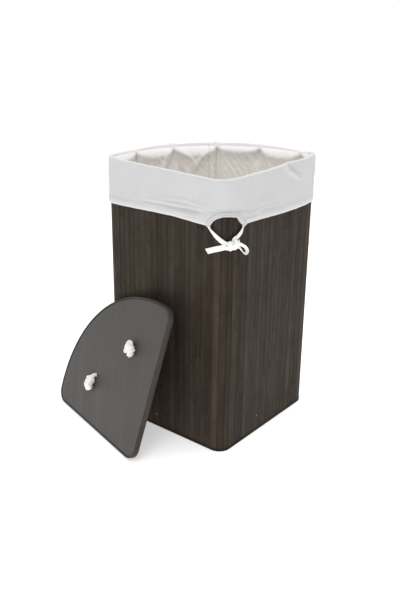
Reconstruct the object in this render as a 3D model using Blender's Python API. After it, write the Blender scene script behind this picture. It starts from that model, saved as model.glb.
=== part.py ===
"""Corner laundry hamper: a wall of dark bamboo slats on a quarter-round plan, a cotton liner folded
over its rim and tied with a tape, and a loose lid that leans against the left side.

Metres, +Z up. The origin is on the floor under the middle of the plan. The square front corner
points to -Y and the bowed back wall faces +Y.
"""

import bisect
import math

import bmesh
import bpy
from mathutils import Matrix, Vector

# ---- driving dimensions -------------------------------------------------------------------
GAP = 0.0003                     # clearance between neighbouring solids

SIDE = 0.350                     # each straight side, measured to the sharp front corner
BULGE = 0.1225                   # how far the back bows out past the line between the side ends
CORNER_R = 0.030                 # rounding of the three corners
WALL_TOP = 0.640                 # height of the slat wall
SLAT_T = 0.0022                  # thickness of the glued slats
BACKING_T = 0.0004               # cloth that the slats are glued to
TURN_STEP = math.radians(7.5)    # largest turn between two stations on a bend

HOOP_T = 0.0024                  # stiffening hoop inside the rim
HOOP_Z = (0.606, 0.636)
SEAM_STRIP = (0.030, 0.0020)     # width and thickness of the strip that closes the mat
TRIM_T = 0.0007                  # edge tape on the outside of the wall
BOTTOM_TRIM_Z = (0.001, 0.007)
TOP_TRIM_Z = (0.628, 0.639)

BATTEN = (0.018, 0.048)          # base batten width and height
BOARD_T = 0.009                  # base board
NAIL_SHANK = (0.0008, 0.017)     # radius and length
NAIL_HEAD = (0.0022, 0.0008)     # radius and thickness
NAIL_HOLE_R = 0.0011
NAIL_LEFT = (-0.193, 0.034)      # distance round the plan from the front corner, and height
NAIL_RIGHT = (0.131, 0.043)

CLOTH_T = 0.0008                 # liner cloth
LINER_OUT = -0.0070              # outer face of the liner inside the wall
RIM_Z = 0.650                    # top of the fold over the rim
CUFF_OUT = 0.0039                # inner face of the cuff's outer layer
HEM_Z = 0.543                    # lower edge of the cuff
HEM_HEIGHT = 0.020               # depth of the hem that holds the drawstring
POCKET = (0.0013, 0.0021)        # inner layer of the hem
TAPE = (0.0090, 0.0012)          # drawstring tape width and thickness
MOUTH = (-0.0375, 0.0465)        # where the tape leaves the hem, left and right
ARCH = (                         # edge of the cuff between the two mouths: distance round, height
    (-0.0375, 0.5438), (-0.0290, 0.5570), (-0.0180, 0.5665), (-0.0070, 0.5718),
    (0.0050, 0.5720), (0.0225, 0.5685), (0.0330, 0.5545), (0.0465, 0.5438),
)

TAPE_TUBE_R = 0.0025             # stand-in radius of the free tape
KNOT_AT = (0.0125, 0.0072, 0.5085)        # round the plan, out from the wall, up
KNOT_HALF = (0.0150, 0.0062, 0.0098)

LID_SIDE = 0.3643                # lid side to its sharp corner
LID_BULGE = 0.1275
LID_T = 0.012                    # height of the edge band
BAND_T = 0.0045                  # thickness of the edge band
PANEL_Z = (0.0006, 0.0090)       # lid board between its faces
SLAT_Z = (0.0093, 0.0117)        # slats glued on the lid board
BAND_JOINT = 0.066               # butt joint of the band, past the left rear corner
ROPE_R = 0.004
ROPE_HOLE_R = 0.0052
HOLES = ((0.120, 0.241), (0.226, 0.121))  # along the floor edge and up the rising edge
KNOT_LEAN = ((-0.98, -0.21), (0.17, -0.98))   # the way each knot hangs, in the same directions
ROPE_SAG = 0.040
ROPE_LIFT = 0.017                # height of the rope's ends over the lid's underside

LEAN_CORNER = (-0.2083, -0.2132, 0.0039)  # sharp corner of the leaning lid
LEAN_HEADING = math.radians(119.32)       # floor edge, turned from +X
LEAN_RISE = math.radians(72.51)           # lid plane above the floor


# ---- materials ----------------------------------------------------------------------------
def material(name, colour, roughness, metallic=0.0):
    """A plain Principled material."""
    made = bpy.data.materials.new(name)
    made.use_nodes = True
    shader = made.node_tree.nodes["Principled BSDF"]
    shader.inputs["Base Color"].default_value = (*colour, 1.0)
    shader.inputs["Roughness"].default_value = roughness
    shader.inputs["Metallic"].default_value = metallic
    made.diffuse_color = (*colour, 1.0)
    return made


# ---- the quarter-round plan ---------------------------------------------------------------
class Plan:
    """A closed outline of straight runs and arcs, walked to the left from the front corner.

    A place on it is given by the distance round it, s, which is 0 at the middle of the front
    corner, positive to the right, and by how far it lies outside the outline.
    """

    def __init__(self, side, bulge, radius, corner):
        half = side / math.sqrt(2)
        back_r = (half**2 + bulge**2) / (2 * bulge)
        back_y = half + bulge - back_r
        b = -math.sqrt(2) * back_y
        c = radius**2 + b * radius + back_y**2 - (back_r - radius) ** 2
        tangent = (-b + math.sqrt(b * b - 4 * c)) / 2
        lift = math.atan2((tangent + radius) / math.sqrt(2) - back_y, (tangent - radius) / math.sqrt(2))
        front = (radius * math.pi / 4, 1 / radius)
        straight = (tangent - radius, 0.0)
        rear = (radius * (lift + math.pi / 4), 1 / radius)
        back = (back_r * (math.pi - 2 * lift), 1 / back_r)
        self.runs = [front, straight, rear, back, rear, straight, front]
        self.start = Vector((corner[0], corner[1] + radius * (math.sqrt(2) - 1)))
        self.length = sum(run[0] for run in self.runs)
        self.front = front[0]
        self.side_end = front[0] + straight[0]
        self.rear_end = self.side_end + rear[0]
        self.depth = half + bulge
        self.grid = [0.0]
        for length, bend in self.runs:
            parts = max(1, math.ceil(length * bend / TURN_STEP))
            start = self.grid[-1]
            self.grid += [start + length * (i + 1) / parts for i in range(parts)]

    def at(self, s):
        """Position and heading at distance s."""
        left = s % self.length
        place = self.start.copy()
        heading = 0.0
        for length, bend in self.runs:
            step = min(left, length)
            if bend:
                turned = heading + bend * step
                place.x += (math.sin(turned) - math.sin(heading)) / bend
                place.y += (math.cos(heading) - math.cos(turned)) / bend
                heading = turned
            else:
                place.x += step * math.cos(heading)
                place.y += step * math.sin(heading)
            left -= step
            if left <= 0:
                break
        return place, heading

    def exact(self, s, out):
        """The point at distance s on the true curve, moved out from the outline."""
        place, heading = self.at(s)
        return Vector((place.x + out * math.sin(heading), place.y - out * math.cos(heading)))

    def spot(self, s, out, z):
        """The point at distance s on the chords between stations, which every solid shares."""
        loops, around = divmod(s, self.length)
        k = max(bisect.bisect_right(self.grid, around) - 1, 0)
        k = min(k, len(self.grid) - 2)
        near, far = self.grid[k], self.grid[k + 1]
        place = self.exact(near, out).lerp(self.exact(far, out), (around - near) / (far - near))
        return Vector((place.x, place.y, z))

    def stations(self, first, last):
        """Distances from first to last: both ends and the stations between them."""
        laps = range(math.floor(first / self.length), math.floor(last / self.length) + 1)
        found = [lap * self.length + s for lap in laps for s in self.grid[:-1]]
        return [first, *(s for s in found if first + 1e-5 < s < last - 1e-5), last]


BODY = Plan(SIDE, BULGE, CORNER_R, (0.0, 0.0))
MIDDLE = (BODY.start.y + BODY.depth) / 2
BODY.start.y -= MIDDLE
LID = Plan(LID_SIDE, LID_BULGE, CORNER_R, (0.0, 0.0))


# ---- building helpers ---------------------------------------------------------------------
def keep(mesh, name, finish, parent=None, smooth=True):
    """Turns a bmesh into a named object with one material."""
    bmesh.ops.recalc_face_normals(mesh, faces=mesh.faces)
    data = bpy.data.meshes.new(name)
    mesh.to_mesh(data)
    mesh.free()
    if smooth:
        data.shade_smooth()
        data.set_sharp_from_angle(angle=math.radians(35))
    made = bpy.data.objects.new(name, data)
    made.data.materials.append(finish)
    made.parent = parent
    bpy.context.collection.objects.link(made)
    return made


def sweep(name, plan, first, last, profile, finish, parent=None):
    """A closed solid whose outline, profile(s) as (out, z) points, follows the plan."""
    mesh = bmesh.new()
    rings = []
    for s in plan.stations(first, last):
        rings.append([mesh.verts.new(plan.spot(s, out, z)) for out, z in profile(s)])
    for near, far in zip(rings, rings[1:]):
        for i in range(len(near)):
            j = (i + 1) % len(near)
            mesh.faces.new((near[i], near[j], far[j], far[i]))
    mesh.faces.new(rings[0])
    mesh.faces.new(reversed(rings[-1]))
    return keep(mesh, name, finish, parent)


def rectangle(inner, outer, low, high):
    """The profile of a plain strip."""
    points = [(inner, low), (outer, low), (outer, high), (inner, high)]
    return lambda s: points


def strips(prefix, plan, names_and_ends, profile, finish):
    """One solid for each named stretch of the plan, with a gap at each joint."""
    for name, first, last in names_and_ends:
        sweep(f"{prefix}_{name}", plan, first + GAP / 2, last - GAP / 2, profile, finish)


def stretches(plan, backs):
    """The named stretches of a wall: corners, sides, and the back in equal parts."""
    end = plan.length
    found = [
        ("front_corner", -plan.front, plan.front),
        ("right", plan.front, plan.side_end),
        ("rear_corner_right", plan.side_end, plan.rear_end),
        ("rear_corner_left", end - plan.rear_end, end - plan.side_end),
        ("left", end - plan.side_end, end - plan.front),
    ]
    step = (end - 2 * plan.rear_end) / backs
    for i in range(backs):
        start = plan.rear_end + i * step
        found.append((f"back_{i + 1}", start, start + step))
    return found


def plate(name, plan, out, low, high, finish, parent=None):
    """A flat board that fills the plan."""
    mesh = bmesh.new()
    around = plan.stations(0.0, plan.length)[:-1]
    floor = mesh.faces.new([mesh.verts.new(plan.spot(s, out, low)) for s in around])
    raised = bmesh.ops.extrude_face_region(mesh, geom=[floor])["geom"]
    moved = [item for item in raised if isinstance(item, bmesh.types.BMVert)]
    bmesh.ops.translate(mesh, verts=moved, vec=(0, 0, high - low))
    return keep(mesh, name, finish, parent)


def block(name, low, high, finish):
    """A box between two corners."""
    mesh = bmesh.new()
    size = Vector(high) - Vector(low)
    middle = (Vector(high) + Vector(low)) / 2
    bmesh.ops.create_cube(mesh, size=1.0, matrix=Matrix.Translation(middle) @ Matrix.Diagonal((*size, 1)))
    return keep(mesh, name, finish, smooth=False)


def turned(mesh, radius_low, radius_high, depth, place, sides):
    """Adds a round bar or cone, along local Z, to a mesh."""
    bmesh.ops.create_cone(
        mesh, cap_ends=True, segments=sides, radius1=radius_low, radius2=radius_high,
        depth=depth, matrix=place,
    )


def facing(point, direction):
    """A frame at a point with its Z along a direction."""
    return Matrix.Translation(point) @ direction.to_track_quat("Z", "Y").to_matrix().to_4x4()


def drill(target, point, direction, radius, depth, parent=None):
    """Cuts a round hole through a solid."""
    mesh = bmesh.new()
    turned(mesh, radius, radius, depth, facing(point, direction), 12)
    cutter = keep(mesh, f"cut_{target.name}", target.data.materials[0], parent)
    cutter.hide_render = True
    cutter.display_type = "WIRE"
    cut = target.modifiers.new("hole", "BOOLEAN")
    cut.operation = "DIFFERENCE"
    cut.solver = "EXACT"
    cut.object = cutter


def smooth_route(points, count):
    """Evenly numbered points on a Catmull-Rom curve through the route's points."""
    ends = [2 * points[0] - points[1], *points, 2 * points[-1] - points[-2]]
    found = []
    for i in range(count):
        along = i / (count - 1) * (len(points) - 1)
        k = min(int(along), len(points) - 2)
        t = along - k
        a, b, c, d = ends[k : k + 4]
        bend = 2 * b + (c - a) * t + (2 * a - 5 * b + 4 * c - d) * t**2
        found.append((bend + (3 * b - a - 3 * c + d) * t**3) / 2)
    return found


def rope(name, points, radius, finish, sides, parent=None):
    """A round tube along a route, as a bevelled curve with filled caps."""
    data = bpy.data.curves.new(name, "CURVE")
    data.dimensions = "3D"
    data.bevel_depth = radius
    data.bevel_resolution = sides
    data.use_fill_caps = True
    line = data.splines.new("POLY")
    line.points.add(len(points) - 1)
    for knot, place in zip(line.points, points):
        knot.co = (*place, 1.0)
    made = bpy.data.objects.new(name, data)
    made.data.materials.append(finish)
    made.parent = parent
    bpy.context.collection.objects.link(made)
    return made


def swelling(name, points, radii, finish, parent=None, sides=12):
    """A closed round body along a route, with a radius at each point."""
    mesh = bmesh.new()
    rings = []
    for i, (place, radius) in enumerate(zip(points, radii)):
        ahead = points[min(i + 1, len(points) - 1)] - points[max(i - 1, 0)]
        frame = facing(place, ahead)
        ring = []
        for k in range(sides):
            turn = 2 * math.pi * k / sides
            ring.append(mesh.verts.new(frame @ Vector((radius * math.cos(turn), radius * math.sin(turn), 0))))
        rings.append(ring)
    for near, far in zip(rings, rings[1:]):
        for i in range(sides):
            j = (i + 1) % sides
            mesh.faces.new((near[i], near[j], far[j], far[i]))
    mesh.faces.new(reversed(rings[0]))
    mesh.faces.new(rings[-1])
    return keep(mesh, name, finish, parent)


# ---- the slat wall ------------------------------------------------------------------------
def slat_wall(bamboo):
    """The mat of glued slats, which meets itself in the middle of the back."""
    strips("wall", BODY, stretches(BODY, 6), rectangle(-SLAT_T, 0.0, 0.0, WALL_TOP), bamboo)


def backing(cloth):
    """The cloth on the inside of the slats, open at the mat's seam."""
    outer = -SLAT_T - GAP
    seam = BODY.length / 2
    profile = rectangle(outer - BACKING_T, outer, 0.001, WALL_TOP - 0.001)
    return sweep("backing_cloth", BODY, seam + GAP, seam + BODY.length - GAP, profile, cloth)


def stiffeners(bamboo):
    """The hoop inside the rim and the strip that closes the mat."""
    outer = -SLAT_T - BACKING_T - 2 * GAP
    seam = BODY.length / 2
    hoop = rectangle(outer - HOOP_T, outer, *HOOP_Z)
    sweep("rim_hoop", BODY, seam + GAP, seam + BODY.length - GAP, hoop, bamboo)
    width, thick = SEAM_STRIP
    strip = rectangle(outer - thick, outer, BATTEN[1] + BOARD_T + 0.004, HOOP_Z[0] - 0.002)
    sweep("seam_strip", BODY, seam - width / 2, seam + width / 2, strip, bamboo)


def edge_trims(bamboo):
    """The tapes along the lower and upper edge of the wall."""
    seam = BODY.length / 2
    for name, height in (("bottom_trim", BOTTOM_TRIM_Z), ("top_trim", TOP_TRIM_Z)):
        profile = rectangle(GAP, GAP + TRIM_T, *height)
        sweep(name, BODY, seam + GAP, seam + BODY.length - GAP, profile, bamboo)


# ---- the base -----------------------------------------------------------------------------
def base(wood):
    """Three battens on the floor and the board on them."""
    width, height = BATTEN
    outer = -SLAT_T - BACKING_T - 3 * GAP
    side = rectangle(outer - width, outer, 0.0, height)
    front = BODY.front + 0.002
    sweep("base_batten_right", BODY, front, BODY.side_end - 0.004, side, wood)
    sweep("base_batten_left", BODY, BODY.length - BODY.side_end + 0.004, BODY.length - front, side, wood)
    reach = MIDDLE - width / 2 + (outer - width) * math.sqrt(2) - 0.001
    block("base_batten_cross", (-reach, -width / 2, 0.0), (reach, width / 2, height), wood)
    plate("base_board", BODY, outer, height + GAP, height + GAP + BOARD_T, wood)


def nail(name, s, height, steel, holders):
    """A nail driven in from outside, and its hole in each piece that it passes."""
    place = BODY.spot(s, 0.0, height)
    inward = (place - BODY.spot(s, 1.0, height)).normalized()
    radius, length = NAIL_SHANK
    head_r, head_t = NAIL_HEAD
    mesh = bmesh.new()
    around = [(head_r, -GAP - head_t), (head_r, -GAP), (radius, -GAP), (radius, length - 0.002)]
    tip = mesh.verts.new((0, 0, length))
    top = mesh.verts.new((0, 0, -GAP - head_t))
    sides = 10
    rings = []
    for r, z in around:
        turns = [2 * math.pi * k / sides for k in range(sides)]
        rings.append([mesh.verts.new((r * math.cos(t), r * math.sin(t), z)) for t in turns])
    for near, far in zip(rings, rings[1:]):
        for i in range(sides):
            j = (i + 1) % sides
            mesh.faces.new((near[i], near[j], far[j], far[i]))
    for i in range(sides):
        j = (i + 1) % sides
        mesh.faces.new((top, rings[0][j], rings[0][i]))
        mesh.faces.new((tip, rings[-1][i], rings[-1][j]))
    made = keep(mesh, name, steel)
    made.matrix_world = facing(place, inward)
    for holder in holders:
        drill(bpy.data.objects[holder], place, inward, NAIL_HOLE_R, 2 * length + 0.004)


def nails(steel):
    """One nail seen in each side, and three in the back that hold the board."""
    nail("nail_left", *NAIL_LEFT, steel, ("wall_left", "backing_cloth", "base_batten_left"))
    nail("nail_right", *NAIL_RIGHT, steel, ("wall_right", "backing_cloth", "base_batten_right"))
    board = BATTEN[1] + GAP + BOARD_T / 2
    step = (BODY.length - 2 * BODY.rear_end) / 6
    for i, panel in enumerate((1, 3, 6)):
        s = BODY.rear_end + (panel - 0.5) * step
        nail(f"nail_back_{i + 1}", s, board, steel, (f"wall_back_{panel}", "backing_cloth", "base_board"))


# ---- the liner ----------------------------------------------------------------------------
def liner_walls(cotton):
    """The bag inside the wall, turned out over the rim, and its floor."""
    inner = LINER_OUT - CLOTH_T
    low = BATTEN[1] + BOARD_T + 2 * GAP
    reach = CUFF_OUT - GAP
    points = [
        (inner, low), (LINER_OUT, low), (LINER_OUT, RIM_Z - CLOTH_T),
        (reach, RIM_Z - CLOTH_T), (reach, RIM_Z), (inner, RIM_Z),
    ]
    strips("liner", BODY, stretches(BODY, 5), lambda s: points, cotton)
    plate("liner_floor", BODY, inner - GAP, low, low + CLOTH_T, cotton)


def hem_profile(s):
    """The cuff's outer layer with its lower edge turned in and up around the drawstring."""
    outer = CUFF_OUT + CLOTH_T
    inner_low, inner_high = POCKET
    fold = HEM_Z + CLOTH_T
    return [
        (inner_low, HEM_Z), (outer, HEM_Z), (outer, RIM_Z), (CUFF_OUT, RIM_Z), (CUFF_OUT, fold),
        (inner_high, fold), (inner_high, HEM_Z + HEM_HEIGHT), (inner_low, HEM_Z + HEM_HEIGHT),
    ]


def arch_profile(s):
    """The cuff over the front corner, cut in an arch between the drawstring's mouths."""
    ends = [s0 for s0, _ in ARCH]
    k = min(max(bisect.bisect_right(ends, s) - 1, 0), len(ARCH) - 2)
    (s0, z0), (s1, z1) = ARCH[k : k + 2]
    low = z0 + (z1 - z0) * (s - s0) / (s1 - s0)
    outer = CUFF_OUT + CLOTH_T
    return [(CUFF_OUT, low), (outer, low), (outer, RIM_Z), (CUFF_OUT, RIM_Z)]


def cuff(cotton):
    """The part of the liner that hangs outside, in panels."""
    end = BODY.length
    named = [item for item in stretches(BODY, 4) if item[0] != "front_corner"]
    ends = {"right": (MOUTH[1], BODY.side_end), "left": (end - BODY.side_end, end + MOUTH[0])}
    panels = [(name, *ends.get(name, (first, last))) for name, first, last in named]
    strips("cuff", BODY, panels, hem_profile, cotton)
    sweep("cuff_front", BODY, MOUTH[0] + GAP / 2, MOUTH[1] - GAP / 2, arch_profile, cotton)


def drawstring(tape):
    """The tape in the hem, its two free runs, the knot, one loop and one tail."""
    width, thick = TAPE
    inner = (POCKET[1] + CUFF_OUT - thick) / 2
    low = HEM_Z + CLOTH_T + GAP
    inside = rectangle(inner, inner + thick, low, low + width)
    sweep("drawstring_hem", BODY, MOUTH[1] + 0.001, BODY.length + MOUTH[0] - 0.001, inside, tape)
    s, out, z = KNOT_AT
    across, deep, tall = KNOT_HALF
    knot_mesh = bmesh.new()
    sized = Matrix.Diagonal((across, deep, tall, 1))
    bmesh.ops.create_uvsphere(knot_mesh, u_segments=16, v_segments=8, radius=1.0, matrix=sized)
    knot = keep(knot_mesh, "drawstring_knot", tape)
    knot.location = BODY.spot(s, out, z)
    knot.rotation_euler.z = BODY.at(s)[1]
    routes = {
        "drawstring_left_run": [
            (MOUTH[0] + 0.0012, 0.0034, HEM_Z - 0.003), (-0.0225, 0.0042, 0.5302),
            (-0.0120, 0.0046, 0.5216), (s - 0.0155, 0.0052, z + 0.0063),
        ],
        "drawstring_right_run": [
            (MOUTH[1] - 0.0008, 0.0034, HEM_Z - 0.003), (0.0385, 0.0042, 0.5308),
            (0.0250, 0.0046, 0.5236), (s + 0.0034, 0.0052, z + 0.0122),
        ],
        "drawstring_tail": [
            (s - 0.0173, out - 0.001, z - 0.0033), (-0.0145, 0.0062, 0.5016),
            (-0.0278, 0.0054, 0.4956), (-0.0418, 0.0050, 0.4896),
        ],
        "drawstring_loop": [
            (s + 0.0181, out, z - 0.001), (0.0365, 0.0070, 0.5040), (0.0445, 0.0064, 0.4999),
            (0.0545, 0.0058, 0.4930), (0.0608, 0.0056, 0.4845), (0.0575, 0.0056, 0.4797),
            (0.0510, 0.0058, 0.4805), (0.0441, 0.0060, 0.4863), (0.0346, 0.0064, 0.4960),
            (s + 0.0157, out, z - 0.0069),
        ],
    }
    for name, route in routes.items():
        points = [BODY.spot(*place) for place in route]
        rope(name, smooth_route(points, 4 * len(points) - 3), TAPE_TUBE_R, tape, 2)


# ---- the lid ------------------------------------------------------------------------------
def lean():
    """The empty that carries the lid: its corner on the floor, its top side to the wall."""
    along = Vector((math.cos(LEAN_HEADING), math.sin(LEAN_HEADING), 0))
    level = Vector((math.sin(LEAN_HEADING), -math.cos(LEAN_HEADING), 0))
    rising = level * math.cos(LEAN_RISE) + Vector((0, 0, math.sin(LEAN_RISE)))
    columns = Matrix((along, rising, along.cross(rising))).transposed().to_4x4()
    holder = bpy.data.objects.new("lid_pose", None)
    bpy.context.collection.objects.link(holder)
    turned_plan = Matrix.Rotation(-math.pi / 4, 4, "Z")
    holder.matrix_world = Matrix.Translation(LEAN_CORNER) @ columns @ turned_plan
    return holder


def hole_point(hole, height):
    """A rope hole's centre in the lid's own plan, at a height over its underside."""
    along, rising = hole
    return Vector(((along - rising) / math.sqrt(2), (along + rising) / math.sqrt(2), height))


def lid_panels(board_finish, slat_finish, holder):
    """The board and the slats glued on its top, with the rope's holes through both."""
    inset = -BAND_T - GAP
    panels = [
        plate("lid_board", LID, inset, *PANEL_Z, board_finish, holder),
        plate("lid_slats", LID, inset, *SLAT_Z, slat_finish, holder),
    ]
    up = Vector((0, 0, 1))
    for panel in panels:
        for hole in HOLES:
            drill(panel, hole_point(hole, LID_T / 2), up, ROPE_HOLE_R, 3 * LID_T, holder)


def lid_band(finish, holder):
    """The bent strip round the lid's edge, with one butt joint."""
    joint = LID.length - LID.rear_end - BAND_JOINT
    profile = rectangle(-BAND_T, 0.0, 0.0, LID_T)
    sweep("lid_band", LID, joint + GAP / 2, joint + LID.length - GAP / 2, profile, finish, holder)


def handle_knots(cotton, holder):
    """The rope's ends: through the lid, then a knot that hangs against the underside."""
    for name, hole, hang in zip(("upper", "lower"), HOLES, KNOT_LEAN):
        top = hole_point(hole, LID_T + 0.0006)
        way = hole_point(hang, 0.0).normalized()
        offsets = [(0, 0), (0, -LID_T - 0.003), (0.002, -LID_T - 0.0075), (0.008, -LID_T - 0.0115)]
        offsets += [(0.017, -LID_T - 0.0125), (0.026, -LID_T - 0.0120), (0.033, -LID_T - 0.0100)]
        radii = [ROPE_R, ROPE_R, 0.0060, 0.0098, 0.0110, 0.0095, 0.0060]
        points = [top + way * slide + Vector((0, 0, drop)) for slide, drop in offsets]
        swelling(f"handle_knot_{name}", points, radii, cotton, holder)


def handle_rope(cotton, holder):
    """The rope between its two holes, hanging from them; it turns about the line between its ends."""
    first, last = (hole_point(hole, ROPE_LIFT) for hole in HOLES)
    across = (last - first).normalized()
    down = holder.matrix_world.to_3x3().inverted() @ Vector((0, 0, -1))
    down = (down - down.dot(across) * across).normalized()
    pivot = bpy.data.objects.new("handle_axis", None)
    bpy.context.collection.objects.link(pivot)
    pivot.parent = holder
    pivot.location = (first + last) / 2
    points = []
    count = 17
    for i in range(count):
        t = i / (count - 1)
        sag = ROPE_SAG * math.sin(math.pi * t) ** 0.9
        points.append(first.lerp(last, t) + down * sag - pivot.location)
    rope("handle_rope", points, ROPE_R, cotton, 3, pivot)


# ---- the whole object ---------------------------------------------------------------------
def build():
    """Clears the scene and models every piece."""
    for old in list(bpy.data.objects):
        bpy.data.objects.remove(old, do_unlink=True)
    bamboo = material("bamboo_dark", (0.062, 0.050, 0.041), 0.55)
    trim = material("bamboo_trim", (0.040, 0.033, 0.028), 0.5)
    backing_finish = material("backing_cloth", (0.10, 0.085, 0.07), 0.95)
    pale_bamboo = material("bamboo_pale", (0.42, 0.32, 0.20), 0.6)
    wood = material("base_wood", (0.38, 0.29, 0.19), 0.7)
    steel = material("nail_steel", (0.55, 0.52, 0.48), 0.35, 1.0)
    cotton = material("liner_cotton", (0.68, 0.68, 0.70), 0.9)
    tape = material("drawstring_cotton", (0.80, 0.79, 0.77), 0.9)
    rope_cotton = material("rope_cotton", (0.82, 0.80, 0.75), 0.95)
    grey_board = material("lid_grey_board", (0.115, 0.112, 0.107), 0.6)
    band = material("lid_band_bamboo", (0.075, 0.062, 0.052), 0.5)

    slat_wall(bamboo)
    backing(backing_finish)
    stiffeners(pale_bamboo)
    edge_trims(trim)
    base(wood)
    nails(steel)
    liner_walls(cotton)
    cuff(cotton)
    drawstring(tape)
    holder = lean()
    lid_panels(grey_board, bamboo, holder)
    lid_band(band, holder)
    handle_knots(rope_cotton, holder)
    handle_rope(rope_cotton, holder)


build()
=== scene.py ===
"""The corner laundry hamper as it looks: slats, cloth, tape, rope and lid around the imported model.

Metres, +Z up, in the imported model's frame: the origin is on the floor under the middle of the plan and
the square front corner points to -Y. A place on the wall is (s, out, z): the distance round the plan from
the middle of the front corner, the distance outside the wall's outer face, and the height.
"""

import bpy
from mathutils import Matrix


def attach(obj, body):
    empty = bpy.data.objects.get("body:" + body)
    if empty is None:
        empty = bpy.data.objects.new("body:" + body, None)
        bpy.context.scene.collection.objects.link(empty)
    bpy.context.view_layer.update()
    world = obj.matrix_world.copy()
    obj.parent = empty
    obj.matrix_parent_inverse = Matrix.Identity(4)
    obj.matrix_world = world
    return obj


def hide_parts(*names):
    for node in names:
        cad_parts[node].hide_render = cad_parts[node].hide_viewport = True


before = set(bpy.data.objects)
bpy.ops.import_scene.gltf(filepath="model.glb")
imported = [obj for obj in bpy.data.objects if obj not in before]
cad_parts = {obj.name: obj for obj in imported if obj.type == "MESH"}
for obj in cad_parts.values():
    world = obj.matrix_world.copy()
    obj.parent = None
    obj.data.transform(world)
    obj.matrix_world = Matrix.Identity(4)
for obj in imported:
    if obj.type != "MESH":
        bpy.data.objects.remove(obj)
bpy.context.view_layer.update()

import math

import bpy
import numpy as np
from mathutils import Matrix, Vector

# ---- dimensions shared with the CAD source -------------------------------------------------
SIDE = 0.350
BULGE = 0.1225
CORNER_R = 0.030
WALL_TOP = 0.640
SLAT_T = 0.0022
TRIM_T = 0.0007
BOTTOM_TRIM_Z = (0.001, 0.007)
TOP_TRIM_Z = (0.628, 0.639)
BAG_FLOOR = 0.0576
CLOTH_T = 0.0008
INSIDE = -0.0074                 # middle of the liner's cloth inside the wall
OUTSIDE = 0.0043                 # middle of the cuff's cloth outside the wall
RIM_Z = 0.650
HEM_Z = 0.543
MOUTH = (-0.0375, 0.0465)
ARCH = (
    (-0.0375, 0.5438), (-0.0290, 0.5570), (-0.0180, 0.5665), (-0.0070, 0.5718),
    (0.0050, 0.5720), (0.0225, 0.5685), (0.0330, 0.5545), (0.0465, 0.5438),
)
HEM_SAG = (
    (-0.300, 0.5430), (-0.140, 0.5496), (-0.100, 0.5483), (-0.0435, 0.5470), (0.0512, 0.5480),
    (0.095, 0.5455), (0.145, 0.5415), (0.195, 0.5386), (0.245, 0.5369), (0.300, 0.5376), (0.400, 0.5430),
)
LEFT_EXIT = (MOUTH[0] + 0.0012, 0.0034, HEM_Z - 0.003)      # where the tape leaves the hem
RIGHT_EXIT = (MOUTH[1] - 0.0008, 0.0034, HEM_Z - 0.003)
TAPE_WIDTH = 0.0090
KNOT_AT = (0.0125, 0.0072, 0.5085)
LID_SIDE = 0.3643
LID_BULGE = 0.1275
LID_T = 0.012
BAND_T = 0.0045
PANEL_Z = (0.0006, 0.0090)
SLAT_Z = (0.0093, 0.0117)
BAND_JOINT = 0.066
ROPE_R = 0.004
ROPE_HOLE_R = 0.0052
HOLES = ((0.120, 0.241), (0.226, 0.121))
KNOT_LEAN = ((-0.98, -0.21), (0.17, -0.98))
KNOT_AXIS = ((-0.57, -0.82), (0.17, -0.98))
ROPE_SAG = 0.040
ROPE_LIFT = 0.017
LEAN_CORNER = (-0.2083, -0.2132, 0.0039)
LEAN_HEADING = math.radians(119.32)
LEAN_RISE = math.radians(72.51)

SLAT_WIDTH = 0.0165              # usual width of a slat
ROOT2 = math.sqrt(2)
FULL_TURN = 2 * math.pi

CAMERA_PLACE = (-0.2347, -1.8115, 1.0705)
CAMERA_TURNS = (-0.1109, 0.395, 0.0125)     # yaw, pitch and roll, in radians
CAMERA_LENS = 49.63                         # mm, on a sensor 36 mm wide


def placed(name, data):
    """A new object in the scene."""
    made = bpy.data.objects.new(name, data)
    bpy.context.scene.collection.objects.link(made)
    return made


# ---- camera --------------------------------------------------------------------------------
def camera():
    """The camera, in front of the corner and above the rim, looking down into the bag."""
    yaw, pitch, roll = CAMERA_TURNS
    back = Vector((math.sin(yaw) * math.cos(pitch), -math.cos(yaw) * math.cos(pitch), math.sin(pitch)))
    level = Vector((math.cos(yaw), math.sin(yaw), 0))
    upright = back.cross(level)
    right = math.cos(roll) * level + math.sin(roll) * upright
    up = math.cos(roll) * upright - math.sin(roll) * level
    data = bpy.data.cameras.new("camera")
    data.sensor_width = 36
    data.lens = CAMERA_LENS
    data.clip_end = 200
    made = placed("camera", data)
    pose = Matrix((right, up, back)).transposed().to_4x4()
    made.matrix_world = Matrix.Translation(CAMERA_PLACE) @ pose
    bpy.context.scene.camera = made


camera()


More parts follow.
